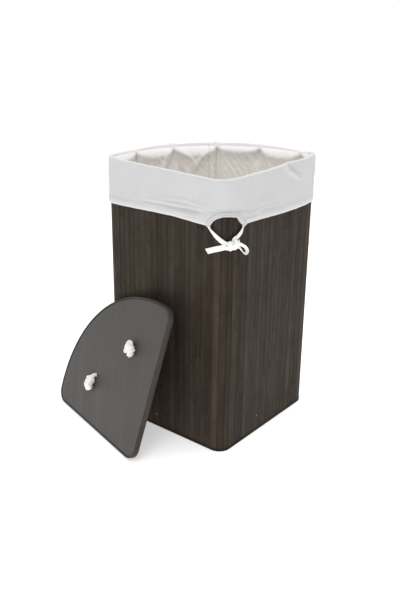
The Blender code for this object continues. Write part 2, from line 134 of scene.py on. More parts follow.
# ---- the quarter-round plan ----------------------------------------------------------------
class Plan:
    """A closed outline of straight runs and arcs, walked to the left from the front corner."""

    def __init__(self, side, bulge, radius, shift=0.0):
        half = side / ROOT2
        back_r = (half**2 + bulge**2) / (2 * bulge)
        back_y = half + bulge - back_r
        b = -ROOT2 * back_y
        c = radius**2 + b * radius + back_y**2 - (back_r - radius) ** 2
        tangent = (-b + math.sqrt(b * b - 4 * c)) / 2
        lift = math.atan2((tangent + radius) / ROOT2 - back_y, (tangent - radius) / ROOT2)
        front = (radius * math.pi / 4, 1 / radius)
        straight = (tangent - radius, 0.0)
        rear = (radius * (lift + math.pi / 4), 1 / radius)
        back = (back_r * (math.pi - 2 * lift), 1 / back_r)
        runs = [front, straight, rear, back, rear, straight, front]
        self.length = sum(run[0] for run in runs)
        self.front = front[0]
        self.side_end = front[0] + straight[0]
        self.rear_end = self.side_end + rear[0]
        self.bends = np.array([run[1] for run in runs])
        self.starts = np.concatenate([[0.0], np.cumsum([run[0] for run in runs])[:-1]])
        place = np.array([0.0, radius * (ROOT2 - 1) + shift])
        heading = 0.0
        places, headings = [], []
        for length, bend in runs:
            places.append(place)
            headings.append(heading)
            turned = heading + bend * length
            if bend:
                step = [math.sin(turned) - math.sin(heading), math.cos(heading) - math.cos(turned)]
                place = place + np.array(step) / bend
            else:
                place = place + length * np.array([math.cos(heading), math.sin(heading)])
            heading = turned
        self.places = np.array(places)
        self.headings = np.array(headings)

    def at(self, s):
        """Positions and headings at distances s."""
        s = np.mod(np.asarray(s, float), self.length)
        k = np.searchsorted(self.starts, s, side="right") - 1
        step = s - self.starts[k]
        bend = self.bends[k]
        near = self.headings[k]
        far = near + bend * step
        safe = np.where(bend > 0, bend, 1.0)
        x = np.where(bend > 0, (np.sin(far) - np.sin(near)) / safe, step * np.cos(near))
        y = np.where(bend > 0, (np.cos(near) - np.cos(far)) / safe, step * np.sin(near))
        return self.places[k, 0] + x, self.places[k, 1] + y, far

    def spot(self, s, out, z):
        """The points at distances s, moved out from the outline, at heights z."""
        x, y, heading = self.at(s)
        parts = np.broadcast_arrays(x + out * np.sin(heading), y - out * np.cos(heading), z)
        return np.stack(parts, axis=-1).astype(float)


MIDDLE = (CORNER_R * (ROOT2 - 1) + SIDE / ROOT2 + BULGE) / 2
BODY = Plan(SIDE, BULGE, CORNER_R, -MIDDLE)
LID = Plan(LID_SIDE, LID_BULGE, CORNER_R)
ROUND = BODY.length


def lid_frame():
    """From the lid's own plan and height over its underside to the leaning lid."""
    along = Vector((math.cos(LEAN_HEADING), math.sin(LEAN_HEADING), 0))
    level = Vector((math.sin(LEAN_HEADING), -math.cos(LEAN_HEADING), 0))
    rising = level * math.cos(LEAN_RISE) + Vector((0, 0, math.sin(LEAN_RISE)))
    columns = Matrix((along, rising, along.cross(rising))).transposed().to_4x4()
    return Matrix.Translation(LEAN_CORNER) @ columns @ Matrix.Rotation(-math.pi / 4, 4, "Z")


LID_FRAME = lid_frame()
LID_ARRAY = np.array(LID_FRAME)


def on_lid(points):
    """Points of the lid's own plan, moved to the leaning lid."""
    points = np.asarray(points, float)
    return points @ LID_ARRAY[:3, :3].T + LID_ARRAY[:3, 3]


def to_plan(along, rising):
    """From distances along the lid's floor edge and up its rising edge to its own plan."""
    return (along - rising) / ROOT2, (along + rising) / ROOT2


def from_plan(x, y):
    """From the lid's own plan to distances along its floor edge and up its rising edge."""
    return (x + y) / ROOT2, (y - x) / ROOT2


def hole_point(hole, height):
    """A place given along the floor edge and up the rising edge, in the lid's own plan."""
    return Vector((*to_plan(*hole), height))


# ---- meshes --------------------------------------------------------------------------------
def lattice(rows, columns):
    """The quads between the points of a grid whose columns close up into a ring."""
    i, j = np.meshgrid(np.arange(rows - 1), np.arange(columns), indexing="ij")
    near, after = i * columns, (j + 1) % columns
    quads = [near + j, near + after, near + columns + after, near + columns + j]
    return np.stack(quads, axis=-1).reshape(-1, 4).tolist()


class Shape:
    """The points, faces and point marks of one piece, gathered part by part."""

    def __init__(self):
        self.points = []
        self.faces = []
        self.marks = {}
        self.count = 0

    def add(self, points, faces, **marks):
        """Adds a part; each mark is a number or a vector for all its points or for each."""
        points = np.asarray(points, float).reshape(-1, 3)
        self.points.append(points)
        self.faces += [[self.count + i for i in face] for face in faces]
        for key, value in marks.items():
            value = np.asarray(value, float)
            wide = (3,) if key == "lie" else ()
            full = np.broadcast_to(value.reshape(-1, *wide) if value.ndim else value, (len(points), *wide))
            self.marks.setdefault(key, []).append(full)
        self.count += len(points)

    def tube(self, rings, **marks):
        """Adds a closed tube through rings of points, with a cap at each end."""
        rings = np.asarray(rings, float)
        rows, columns = rings.shape[:2]
        faces = lattice(rows, columns)
        faces.append(list(range(columns))[::-1])
        faces.append([(rows - 1) * columns + i for i in range(columns)])
        self.add(rings, faces, **marks)

    def make(self, name, look, body, slot, replaces=(), sharp=40):
        """The piece with its look, riding on a body and standing for CAD nodes."""
        mesh = bpy.data.meshes.new(name)
        mesh.from_pydata(np.concatenate(self.points).tolist(), [], self.faces)
        for key, values in self.marks.items():
            mark(mesh, key, np.concatenate(values))
        mesh.shade_smooth()
        if sharp:
            mesh.set_sharp_from_angle(angle=math.radians(sharp))
        made = placed(name, mesh)
        mesh.materials.append(LOOKS[look])
        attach(made, body)
        if replaces:
            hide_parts(*replaces)
        return made


def mark(mesh, key, values):
    """Stores a number or a vector at each point of a mesh."""
    vector = np.ndim(values) == 2
    found = mesh.attributes.new(key, "FLOAT_VECTOR" if vector else "FLOAT", "POINT")
    found.data.foreach_set("vector" if vector else "value", np.asarray(values, np.float32).ravel())


def lying(shape, *parts):
    """Where the points of a grid lie on their own surface: a value or an array for each coordinate."""
    return np.stack([np.broadcast_to(part, shape) for part in parts], axis=-1)


def rounded(low, high, radius):
    """The outline of a rectangle with rounded corners, anticlockwise from its low corner."""
    centres = [
        (low[0] + radius, low[1] + radius, 180), (high[0] - radius, low[1] + radius, 270),
        (high[0] - radius, high[1] - radius, 0), (low[0] + radius, high[1] - radius, 90),
    ]
    found = []
    for x, y, start in centres:
        for part in (0, 45, 90):
            turn = math.radians(start + part)
            found.append((x + radius * math.cos(turn), y + radius * math.sin(turn)))
    return np.array(found)


def smooth_route(points, count):
    """Evenly numbered points on a Catmull-Rom curve through the route's points."""
    points = [np.asarray(p, float) for p in points]
    ends = [2 * points[0] - points[1], *points, 2 * points[-1] - points[-2]]
    found = []
    for i in range(count):
        along = i / (count - 1) * (len(points) - 1)
        k = min(int(along), len(points) - 2)
        t = along - k
        a, b, c, d = ends[k : k + 4]
        bend = 2 * b + (c - a) * t + (2 * a - 5 * b + 4 * c - d) * t**2
        found.append((bend + (3 * b - a - 3 * c + d) * t**3) / 2)
    return np.array(found)


def walk(points):
    """The distance along a line at each of its points."""
    return np.concatenate([[0], np.cumsum(np.linalg.norm(np.diff(points, axis=0), axis=1))])


def respaced(points, count):
    """The same line with so many points, evenly spaced."""
    walked = walk(points)
    wanted = np.linspace(0, walked[-1], count)
    return np.stack([np.interp(wanted, walked, points[:, k]) for k in range(3)], axis=1)


def evenly(points, step):
    """The same line with points a step apart."""
    return respaced(points, max(2, int(walk(points)[-1] / step) + 1))


def line_length(points):
    """How long a line of points is."""
    return float(np.linalg.norm(np.diff(points, axis=0), axis=1).sum())


def unit(vectors):
    """Vectors of length 1."""
    return vectors / np.maximum(np.linalg.norm(vectors, axis=-1, keepdims=True), 1e-12)


def rings_round(centres, first, second, radii, sides):
    """Rings of points round a line, in the plane of two directions across it."""
    turns = FULL_TURN * np.arange(sides) / sides
    return centres[:, None, :] + radii[:, None, None] * (
        first[:, None, :] * np.cos(turns)[None, :, None] + second[:, None, :] * np.sin(turns)[None, :, None])


def ways(points):
    """The direction of a line at each of its points."""
    return unit(np.gradient(points, axis=0))


def carried(points):
    """Two directions across a line at each point, carried along it without twist."""
    forward = ways(points)
    seed = np.array([0.0, 0.0, 1.0]) if abs(forward[0][2]) < 0.9 else np.array([1.0, 0.0, 0.0])
    across = unit(np.cross(forward[0], seed))
    found = []
    for way in forward:
        across = unit(across - across.dot(way) * way)
        found.append(across)
    found = np.array(found)
    return found, np.cross(forward, found)


# ---- materials -----------------------------------------------------------------------------
THREAD = 0.00062                 # from one thread of the cotton to the second next


class Look:
    """A node material under construction."""

    def __init__(self, name, roughness, **constants):
        self.made = bpy.data.materials.new(name)
        self.made.use_nodes = True
        self.tree = self.made.node_tree
        self.shader = self.tree.nodes["Principled BSDF"]
        self.shader.inputs["Roughness"].default_value = roughness
        for key, value in constants.items():
            self.shader.inputs[key.replace("_", " ")].default_value = value

    def node(self, kind, inputs=(), **settings):
        """Adds a node; its inputs are values or other nodes' outputs."""
        made = self.tree.nodes.new("ShaderNode" + kind)
        for key, value in settings.items():
            setattr(made, key, value)
        for key, value in dict(inputs).items():
            if isinstance(value, bpy.types.NodeSocket):
                self.tree.links.new(value, made.inputs[key])
            else:
                made.inputs[key].default_value = value
        return made

    def read(self, key, vector=False):
        """A mark stored at the points of the mesh."""
        found = self.node("Attribute", attribute_name=key)
        return found.outputs["Vector" if vector else "Fac"]

    def place(self, key=None):
        """Where a point lies, in metres: on its own surface, or in the object."""
        if key:
            return self.read(key, vector=True)
        return self.node("TexCoord").outputs["Object"]

    def noise(self, where, stretch, detail=3.0, roughness=0.55, distortion=0.0):
        """Noise with so many cells in a metre each way, from 0 to 1."""
        scaled = self.node("VectorMath", {0: where, 1: stretch}, operation="MULTIPLY").outputs[0]
        settings = {"Vector": scaled, "Scale": 1.0, "Detail": detail, "Roughness": roughness,
                    "Distortion": distortion}
        return self.node("TexNoise", settings).outputs[0]

    def math(self, operation, a, b=0.0, c=0.0):
        """One sum of two or three numbers."""
        return self.node("Math", {0: a, 1: b, 2: c}, operation=operation).outputs[0]

    def total(self, *weighted):
        """The sum of (value, weight) pairs."""
        found = 0.0
        for value, weight in weighted:
            found = self.math("MULTIPLY_ADD", value, weight, found)
        return found

    def ramp(self, value, *stops):
        """Colours at places from 0 to 1."""
        made = self.node("ValToRGB", {0: value})
        line = made.color_ramp
        while len(line.elements) < len(stops):
            line.elements.new(0.5)
        for element, (place, colour) in zip(line.elements, stops):
            element.position = place
            element.color = (*colour, 1.0)
        return made.outputs[0]

    def between(self, share, a, b, blend="MIX"):
        """One colour turning into another."""
        made = self.node("Mix", data_type="RGBA", blend_type=blend)
        for socket, value in ((made.inputs[0], share), (made.inputs[6], a), (made.inputs[7], b)):
            if isinstance(value, bpy.types.NodeSocket):
                self.tree.links.new(value, socket)
            else:
                socket.default_value = value if isinstance(value, float) else (*value, 1.0)
        return made.outputs[2]

    def range(self, value, low, high, to_low=0.0, to_high=1.0):
        """A stretch of values spread over another, held at its ends."""
        inputs = {0: value, 1: low, 2: high, 3: to_low, 4: to_high}
        return self.node("MapRange", inputs).outputs[0]

    def split(self, vector):
        """The three coordinates of a vector."""
        return self.node("SeparateXYZ", {0: vector}).outputs

    def wave(self, value, length):
        """A sine wave of a length in metres."""
        return self.math("SINE", self.math("MULTIPLY", value, FULL_TURN / length))

    def laid(self, tint, share, strength, colour):
        """A colour laid over another, as far as a share times a strength."""
        return self.between(self.math("MULTIPLY", share, strength), tint, colour)

    def darker(self, tint, share):
        """A linked colour made darker."""
        return self.between(1.0, tint, (share, share, share), blend="MULTIPLY")

    def roughness(self, value):
        """A roughness that changes from place to place."""
        self.tree.links.new(value, self.shader.inputs["Roughness"])

    def finish(self, tint, relief, distance, strength):
        """The finished material: its colour, and its relief of a height in metres."""
        bump = self.node("Bump", {"Height": relief, "Distance": distance, "Strength": strength})
        self.tree.links.new(bump.outputs[0], self.shader.inputs["Normal"])
        self.tree.links.new(tint, self.shader.inputs["Base Color"])
        return self.made


def shade(colour, share):
    """A colour made darker or lighter."""
    return tuple(min(1.0, part * share) for part in colour)


def bamboo(name, colour, contrast=1.0, gloss=0.52):
    """Stained bamboo: fibres along the slat, darker pores, slats that took the stain differently."""
    look = Look(name, gloss, Specular_IOR_Level=0.045)
    where = look.place("lie")
    fibre = look.noise(where, (1500, 11, 1), detail=2.0)
    streak = look.noise(where, (430, 2.6, 1), detail=3.0)
    broad = look.noise(where, (110, 1.1, 1), detail=2.0)
    patch = look.noise(where, (34, 15, 1), detail=3.0, roughness=0.65, distortion=0.4)
    pores = look.range(look.noise(where, (2600, 34, 1), detail=1.0), 0.60, 0.74)
    tone = look.read("tone")
    value = look.total((tone, 0.17), (fibre, 0.16), (streak, 0.40), (broad, 0.23), (patch, 0.34))
    value = look.math("ADD", value, -0.15)
    value = look.math("MULTIPLY_ADD", pores, -0.07, value)
    reach = 0.145 / contrast
    pale = tuple(1.52 * (0.72 * part + 0.28 * sum(colour) / 3) for part in colour)
    tint = look.ramp(value, (0.5 - reach, shade(colour, 0.60)), (0.5, colour), (0.5 + reach, pale))
    tint = look.laid(tint, look.read("ring"), 0.34, shade(colour, 0.50))
    tint = look.laid(tint, look.read("edge"), 0.64, shade(colour, 0.28))
    look.roughness(look.range(value, 0.3, 0.7, gloss + 0.10, gloss - 0.06))
    return look.finish(tint, look.total((fibre, 0.5), (streak, 0.5), (pores, -0.4)), 0.00016, 0.8)


def cotton(name, colour, inside=None):
    """Plain-woven cotton: threads over and under, thick and thin yarns, slight blotches.

    Where the mark "inside" says so, it takes a paler, warmer colour that paints the light inside the bag,
    and painted shade of crinkles.
    """
    look = Look(name, 0.92, Sheen_Weight=0.12, Sheen_Roughness=0.5, Specular_IOR_Level=0.25)
    where = look.place("lie")
    u, v, _ = look.split(where)
    cross = look.math("MULTIPLY", look.wave(u, THREAD), look.wave(v, THREAD))
    thick_warp = look.noise(where, (1600, 22, 1), detail=1.0)
    thick_weft = look.noise(where, (22, 1600, 1), detail=1.0)
    slubs = look.range(look.noise(where, (14, 520, 1), detail=1.0), 0.62, 0.80)
    blotch = look.noise(where, (9, 9, 1), detail=4.0, roughness=0.6)
    fine = look.noise(where, (60, 60, 1), detail=3.0)
    base = look.ramp(blotch, (0.3, shade(colour, 0.965)), (0.7, shade(colour, 1.02)))
    if inside:
        # painted light: the mark "inside" lifts the bag's inside to the paler, warmer colour
        painted_light_inside = look.read("inside")
        base = look.between(painted_light_inside, base, inside)
        # painted shade: blotches of crinkle shade, darkened on the inside only
        crinkle_shade = look.noise(where, (100, 230, 1), detail=4.0, roughness=0.65, distortion=0.6)
        shadowed = look.math("MULTIPLY", painted_light_inside, look.range(crinkle_shade, 0.44, 0.66, 0.0, 0.75))
        base = look.between(shadowed, base, look.darker(base, 0.86))
        # painted highlight: the mark "pale" lightens the rim's roll, the top of the back and the hem
        base = look.between(look.read("pale"), base, (0.90, 0.90, 0.895))
        # painted shade: the mark "line" darkens a thin line down the seam's groove
        base = look.between(look.read("line"), base, look.darker(base, 0.45))
    yarn = look.total((thick_warp, 0.5), (thick_weft, 0.5))
    base = look.between(look.range(yarn, 0.35, 0.65, 0.0, 1.0), look.darker(base, 0.955), base)
    base = look.laid(base, slubs, 0.18, (0.84, 0.81, 0.77))
    base = look.between(look.range(fine, 0.35, 0.75, 0.0, 0.04), base, (0.62, 0.57, 0.50))
    return look.finish(base, look.total((cross, 0.32), (yarn, 0.9), (slubs, 0.5)), 0.00014, 0.7)


def tape_cotton(name, colour):
    """Narrow woven tape: a herringbone of short ribs across and a smooth selvedge."""
    look = Look(name, 0.9, Sheen_Weight=0.15, Sheen_Roughness=0.5, Specular_IOR_Level=0.25)
    where = look.place("lie")
    u, v, _ = look.split(where)
    rib = look.wave(look.math("ADD", u, look.math("PINGPONG", v, 0.0015)), 0.0009)
    yarn = look.noise(where, (900, 300, 1), detail=2.0)
    soil = look.noise(where, (70, 40, 1), detail=3.0)
    base = look.ramp(soil, (0.3, shade(colour, 0.95)), (0.7, colour))
    base = look.between(look.range(rib, -1.0, 0.2, 0.5, 0.0), base, shade(colour, 0.80))
    return look.finish(base, look.total((rib, 0.35), (yarn, 0.6)), 0.00018, 0.8)


def rope_cotton(name, colour):
    """Loosely spun cotton: fine fibres along each strand and soft fluff between them."""
    look = Look(name, 0.95, Sheen_Weight=0.25, Sheen_Roughness=0.45, Specular_IOR_Level=0.2)
    where = look.place("lie")
    fibre = look.noise(where, (420, 2600, 1), detail=3.0, roughness=0.65, distortion=0.3)
    fluff = look.noise(look.place(), (900, 900, 900), detail=3.0)
    soil = look.noise(look.place(), (60, 60, 60), detail=3.0)
    base = look.ramp(look.total((fibre, 0.6), (soil, 0.4)), (0.25, shade(colour, 0.82)), (0.6, colour))
    return look.finish(base, look.total((fibre, 0.8), (fluff, 0.5)), 0.0005, 0.8)


def grey_board(name, colour):
    """Thin stained board: long shallow grain, a few wider figures, faint scuffs."""
    look = Look(name, 0.52, Specular_IOR_Level=0.2)
    where = look.place("lie")
    fine = look.noise(where, (900, 14, 1), detail=3.0)
    grain = look.noise(where, (240, 3.2, 1), detail=4.0, distortion=0.6)
    figure = look.noise(where, (34, 1.6, 1), detail=3.0, distortion=0.8)
    cloud = look.noise(where, (7, 5, 1), detail=2.0)
    value = look.total((fine, 0.22), (grain, 0.34), (figure, 0.26), (cloud, 0.18))
    tint = look.ramp(value, (0.34, shade(colour, 0.88)), (0.5, colour), (0.66, shade(colour, 1.11)))
    scuff = look.range(look.noise(look.place(), (260, 60, 260), detail=3.0), 0.66, 0.78, 0.0, 0.25)
    tint = look.between(scuff, tint, shade(colour, 1.5))
    tint = look.laid(tint, look.read("edge"), 0.5, shade(colour, 0.55))
    look.roughness(look.range(value, 0.35, 0.65, 0.60, 0.46))
    return look.finish(tint, look.total((fine, 0.5), (grain, 0.6)), 0.00012, 0.7)


def raw_wood(name, colour, rings=55.0):
    """Plain sawn wood: growth rings drawn out along the board and open pores."""
    look = Look(name, 0.74)
    where = look.place()
    warp = look.noise(where, (6, 3, 6), detail=3.0)
    line = look.noise(where, (rings, 2.5, rings), detail=4.0, distortion=1.2)
    pores = look.range(look.noise(where, (900, 40, 900), detail=1.0), 0.58, 0.72)
    value = look.total((line, 0.7), (warp, 0.3))
    tint = look.ramp(value, (0.36, shade(colour, 0.72)), (0.5, colour), (0.64, shade(colour, 1.2)))
    tint = look.laid(tint, pores, 0.35, shade(colour, 0.5))
    return look.finish(tint, look.total((line, 0.5), (pores, -0.6)), 0.0003, 0.7)


def coarse_cloth(name, colour):
    """Open backing cloth, stained by the glue."""
    look = Look(name, 0.96)
    where = look.place()
    x, y, z = look.split(where)
    thread = look.math("MULTIPLY", look.wave(look.math("ADD", x, y), 0.0011), look.wave(z, 0.0011))
    yarn = look.noise(where, (900, 900, 60), detail=2.0)
    glue = look.noise(where, (30, 30, 18), detail=4.0)
    tint = look.ramp(glue, (0.35, shade(colour, 0.7)), (0.65, shade(colour, 1.25)))
    tint = look.between(look.range(thread, -1.0, 0.5, 0.45, 0.0), tint, shade(colour, 0.5))
    return look.finish(tint, look.total((thread, 0.4), (yarn, 0.6)), 0.0003, 0.8)


def nail_steel(name):
    """Bronzed steel, scratched, with a little rust where the stain reached it."""
    look = Look(name, 0.45, Metallic=1.0)
    where = look.place()
    scratch = look.noise(where, (9000, 900, 2500), detail=2.0)
    spots = look.range(look.noise(where, (1500, 1500, 1500), detail=3.0), 0.58, 0.72)
    tint = look.ramp(scratch, (0.3, (0.13, 0.105, 0.085)), (0.7, (0.22, 0.18, 0.15)))
    tint = look.laid(tint, spots, 0.5, (0.16, 0.09, 0.05))
    look.roughness(look.range(spots, 0.0, 1.0, 0.42, 0.7))
    return look.finish(tint, scratch, 0.00004, 0.6)


SLAT_COLOUR = (0.0400, 0.0296, 0.0218)
COTTON_COLOUR = (0.512, 0.510, 0.520)
# painted light: the bag's inside and its floor panel take this paler, warmer colour of the same cotton,
# standing in for the light inside the bag
INSIDE_PAINTED_LIGHT_COLOUR = (0.90, 0.865, 0.825)
LOOKS = {
    "slats": bamboo("slat_bamboo", SLAT_COLOUR),
    "lid_slats": bamboo("lid_slat_bamboo", SLAT_COLOUR),
    "trim": bamboo("trim_bamboo", (0.021, 0.0165, 0.013), 0.6, 0.42),
    "band": bamboo("band_bamboo", (0.054, 0.046, 0.039), 0.8, 0.46),
    # the liner's inside, and the whole floor panel below, are lifted with the painted light colour
    "cotton": cotton("liner_weave", COTTON_COLOUR, INSIDE_PAINTED_LIGHT_COLOUR),
    "floor_cotton": cotton("liner_floor_weave", INSIDE_PAINTED_LIGHT_COLOUR),
    "thread": tape_cotton("seam_thread", (0.80, 0.79, 0.77)),
    "tape": tape_cotton("tape_weave", (0.84, 0.83, 0.81)),
    "rope": rope_cotton("rope_fibre", (0.85, 0.825, 0.78)),
    "board": grey_board("lid_board_stain", (0.0595, 0.0574, 0.0549)),
    "pale": raw_wood("raw_bamboo", (0.42, 0.32, 0.20), 120.0),
    "wood": raw_wood("sawn_wood", (0.40, 0.30, 0.19)),
    "backing": coarse_cloth("backing_weave", (0.11, 0.090, 0.072)),
    "steel": nail_steel("nail_bright"),
}


def refinish(look, *nodes):
    """Gives CAD nodes that stay a finished material."""
    for name in nodes:
        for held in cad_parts[name].material_slots:
            held.link = "OBJECT"
            held.material = LOOKS[look]


# ---- cords ---------------------------------------------------------------------------------
STRAND_POINTS = 60               # along each free strand of the tape
LOOSE_YARNS = 44                 # at each cut end of the rope
TAIL_SLANT = -0.0070             # how far one corner of the tail's cut end falls short of the other


def ribbon(shape, points, outward, widths, thicks, rolls, seed=0.0, slant=0.0):
    """Adds a flat tape along a line: its width lies across the line, rolled out of the wall's face."""
    forward = ways(points)
    across = unit(np.cross(outward, forward))
    proud = np.cross(forward, across)
    turn = np.radians(np.broadcast_to(rolls, len(points)))[:, None]
    side = across * np.cos(turn) + proud * np.sin(turn)
    face = proud * np.cos(turn) - across * np.sin(turn)
    profile = rounded((-0.5, -0.5), (0.5, 0.5), 0.26)
    profile = np.concatenate([profile[:6], [[0.16, 0.42]], [[-0.16, 0.42]], profile[6:]])
    profile[:, 0] *= np.where(np.abs(profile[:, 1]) < 0.3, 1.0, 0.985)
    width = np.broadcast_to(widths, len(points))[:, None, None]
    thick = np.broadcast_to(thicks, len(points))[:, None, None]
    rings = points[:, None, :] + side[:, None, :] * profile[None, :, :1] * width
    rings = rings + face[:, None, :] * profile[None, :, 1:] * thick
    rings[-1] += forward[-1] * profile[:, :1] * slant
    shape.tube(rings, lie=lying(rings.shape[:2], walk(points)[:, None], profile[:, 0] * TAPE_WIDTH, seed))


def outward_at(s):
    """The wall's outward direction at distances round the plan."""
    heading = BODY.at(s)[2]
    return np.stack([np.sin(heading), -np.cos(heading), np.zeros(len(heading))], axis=1)


def wall_line(route, count):
    """A smooth line through places on the wall, evenly stepped: its places and its points."""
    places = respaced(smooth_route(route, 8 * count), count)
    return places, BODY.spot(*places.T)


def spread(count, *knots):
    """Values that change smoothly along a line: (share of the line, value) pairs."""
    shares, values = zip(*knots)
    return np.interp(np.linspace(0, 1, count), shares, values)


def drawstring():
    """The tape's two free strands, the knot that they make and its short tip."""
    s, out, z = KNOT_AT
    left_run = [
        LEFT_EXIT, (-0.0225, 0.0042, 0.5302),
        (-0.0120, 0.0046, 0.5216), (s - 0.0155, 0.0052, z + 0.0063),
    ]
    right_run = [
        RIGHT_EXIT, (0.0385, 0.0042, 0.5308),
        (0.0250, 0.0046, 0.5236), (s + 0.0034, 0.0052, z + 0.0122),
    ]
    tail = [
        (s - 0.0173, out - 0.001, z - 0.0033), (-0.0145, 0.0062, 0.5016),
        (-0.0278, 0.0054, 0.4956), (-0.0418, 0.0050, 0.4896),
    ]
    loop = [
        (s + 0.0181, out, z - 0.001), (0.0365, 0.0070, 0.5040), (0.0445, 0.0064, 0.4999),
        (0.0545, 0.0058, 0.4930), (0.0608, 0.0056, 0.4845), (0.0575, 0.0056, 0.4797),
        (0.0510, 0.0058, 0.4805), (0.0441, 0.0060, 0.4863), (0.0346, 0.0064, 0.4960),
        (s + 0.0157, out, z - 0.0069),
    ]
    knot = knot_wraps(s, out, z)
    left_run += [(s, out - 0.001, z + 0.001), *loop, (s + 0.004, out, z - 0.004)]
    right_run += [(s + 0.0010, out - 0.002, z + 0.003), *tail]
    strand("left_and_loop", left_run, ("drawstring_left_run", "drawstring_loop"), (
        ((0, 0.0062), (0.05, 0.0086), (0.12, 0.0100), (0.23, 0.0100), (0.31, 0.0080), (1, 0.0078)),
        ((0, 0.0022), (0.15, 0.0013), (1, 0.0013)),
        ((0, 24), (0.10, 6), (0.30, 0), (0.42, 30), (0.60, 52), (0.75, 52), (0.9, 30), (1, 15)),
    ), 0.0)
    strand("right_and_tail", right_run, ("drawstring_right_run", "drawstring_tail"), (
        ((0, 0.0084), (0.09, 0.0112), (0.30, 0.0114), (0.44, 0.0092), (0.61, 0.0120), (1, 0.0124)),
        ((0, 0.0022), (0.12, 0.0013), (0.55, 0.0020), (1, 0.0020)),
        ((0, -22), (0.12, -5), (0.55, 0), (0.75, 8), (1, 14)),
    ), TAIL_SLANT)


def strand(name, route, nodes, sections, slant):
    """One free strand of the tape; sections are its widths, its thicknesses and its rolls in degrees."""
    name = f"drawstring_{name}"
    places, points = wall_line(route, STRAND_POINTS)
    widths, thicks, rolls = (spread(STRAND_POINTS, *knots) for knots in sections)
    shape = Shape()
    ribbon(shape, points, outward_at(places[:, 0]), widths, thicks, rolls, len(name), slant)
    made = shape.make(name, "tape", "liner", "drawstring_cotton", nodes, sharp=0)


def knot_wraps(s, out, z):
    """The tape's turns round itself in the knot, and the short tip that sticks out of it."""
    shape = Shape()
    turns = np.linspace(0, FULL_TURN, 33)
    wraps = (
        (-0.0052, -0.0006, 106, 0.0098, 0.0052, 0.0100),
        (0.0036, 0.0010, 82, 0.0108, 0.0054, 0.0104),
        (0.0104, 0.0002, 68, 0.0074, 0.0044, 0.0078),
        (0.0000, 0.0000, 21, 0.0142, 0.0062, 0.0086),
    )
    for index, (slide, rise, tilt, half, deep, wide) in enumerate(wraps):
        tilt = math.radians(tilt)
        places = np.zeros((len(turns), 3))
        places[:, 0] = s + slide + half * np.cos(turns) * math.cos(tilt)
        places[:, 1] = out + deep * np.sin(turns) - 0.0012
        places[:, 2] = z + rise + half * np.cos(turns) * math.sin(tilt)
        points = BODY.spot(*places.T)
        centre = BODY.spot(s + slide, out - 0.0012, z + rise)
        away = unit(points - centre)
        ribbon(shape, points, away, wide, 0.0017, 0.0, 7.0 + index)
    turns = np.linspace(0, FULL_TURN, 18, endpoint=False)
    shares = np.linspace(-0.97, 0.97, 11)[:, None]
    girth = np.sqrt(1 - shares**2)
    core = BODY.spot(s + 0.0118 * shares, out - 0.0014 + 0.0046 * girth * np.sin(turns),
                     z + 0.0096 * girth * np.cos(turns))
    shape.tube(core, lie=core - core.mean(axis=(0, 1)))
    places, points = wall_line([
        (s + 0.0020, out + 0.0034, z + 0.0015), (s + 0.0090, out + 0.0026, z + 0.0052),
        (s + 0.0165, out + 0.0006, z + 0.0088),
    ], 14)
    ribbon(shape, points, outward_at(places[:, 0]), spread(14, (0, 0.0080), (0.6, 0.0062), (1, 0.0026)),
           0.0014, spread(14, (0, 0), (1, 25)), 15.0)
    return shape.make("drawstring_knot_turns", "tape", "liner", "drawstring_cotton",
                      ("drawstring_knot",), sharp=0)


def twisted(shape, points, radius, pitch, seed, radii=None):
    """Adds a rope of round strands laid round a line."""
    strands, sides = 3, 8
    points = evenly(points, 0.0013)
    across, over = carried(points)
    forward = ways(points)
    step = line_length(points) / (len(points) - 1)
    scale = np.ones(len(points)) if radii is None else np.interp(
        np.linspace(0, 1, len(points)), np.linspace(0, 1, len(radii)), radii)
    strand_r = radius / 2.155
    offset = radius - strand_r
    rounds = FULL_TURN * np.arange(len(points)) * step / pitch
    corners = FULL_TURN * np.arange(sides) / sides
    for k in range(strands):
        turn = (rounds + FULL_TURN * k / strands)[:, None]
        centre = points + (across * np.cos(turn) + over * np.sin(turn)) * offset * scale[:, None]
        way = ways(centre)
        radial = unit(centre - points + 1e-9)
        radial = unit(radial - (radial * way).sum(axis=1, keepdims=True) * way)
        beside = np.cross(way, radial)
        swell = strand_r * 1.10 * scale
        rings = rings_round(centre, radial, beside, swell, sides)
        along = (np.arange(len(points)) * step)[:, None] + 0.25 * corners * strand_r
        shape.tube(rings, lie=lying(rings.shape[:2], along, corners * strand_r, seed + 3.0 * k))
    return forward[-1]


def frayed_end(shape, tip, way, seed, length):
    """Adds the loose yarns of a cut end, splayed and curled."""
    draws = np.random.default_rng(seed)
    way = unit(np.asarray(way, float))
    across = unit(np.cross(way, [0.3, 0.5, 0.81]))
    over = np.cross(way, across)
    for k in range(LOOSE_YARNS):
        angle = draws.uniform(0, FULL_TURN)
        lean = draws.uniform(0.05, 0.75)
        reach = length * draws.uniform(0.6, 1.15)
        side = across * math.cos(angle) + over * math.sin(angle)
        start = tip + side * 0.0034 * math.sqrt(draws.uniform(0, 1)) - way * 0.002
        curl = draws.normal(0, 0.0018, 3)
        line = smooth_route([
            start, start + way * reach * 0.5 + side * reach * lean * 0.3,
            start + way * reach + side * reach * lean + curl,
        ], 7)
        yarn = 0.0006 * np.linspace(1.0, 0.45, 7)
        first, second = carried(line)
        rings = rings_round(line, first, second, yarn, 4)
        shape.tube(rings, lie=lying(rings.shape[:2], np.linspace(0, reach, 7)[:, None], 0.0, seed + k))


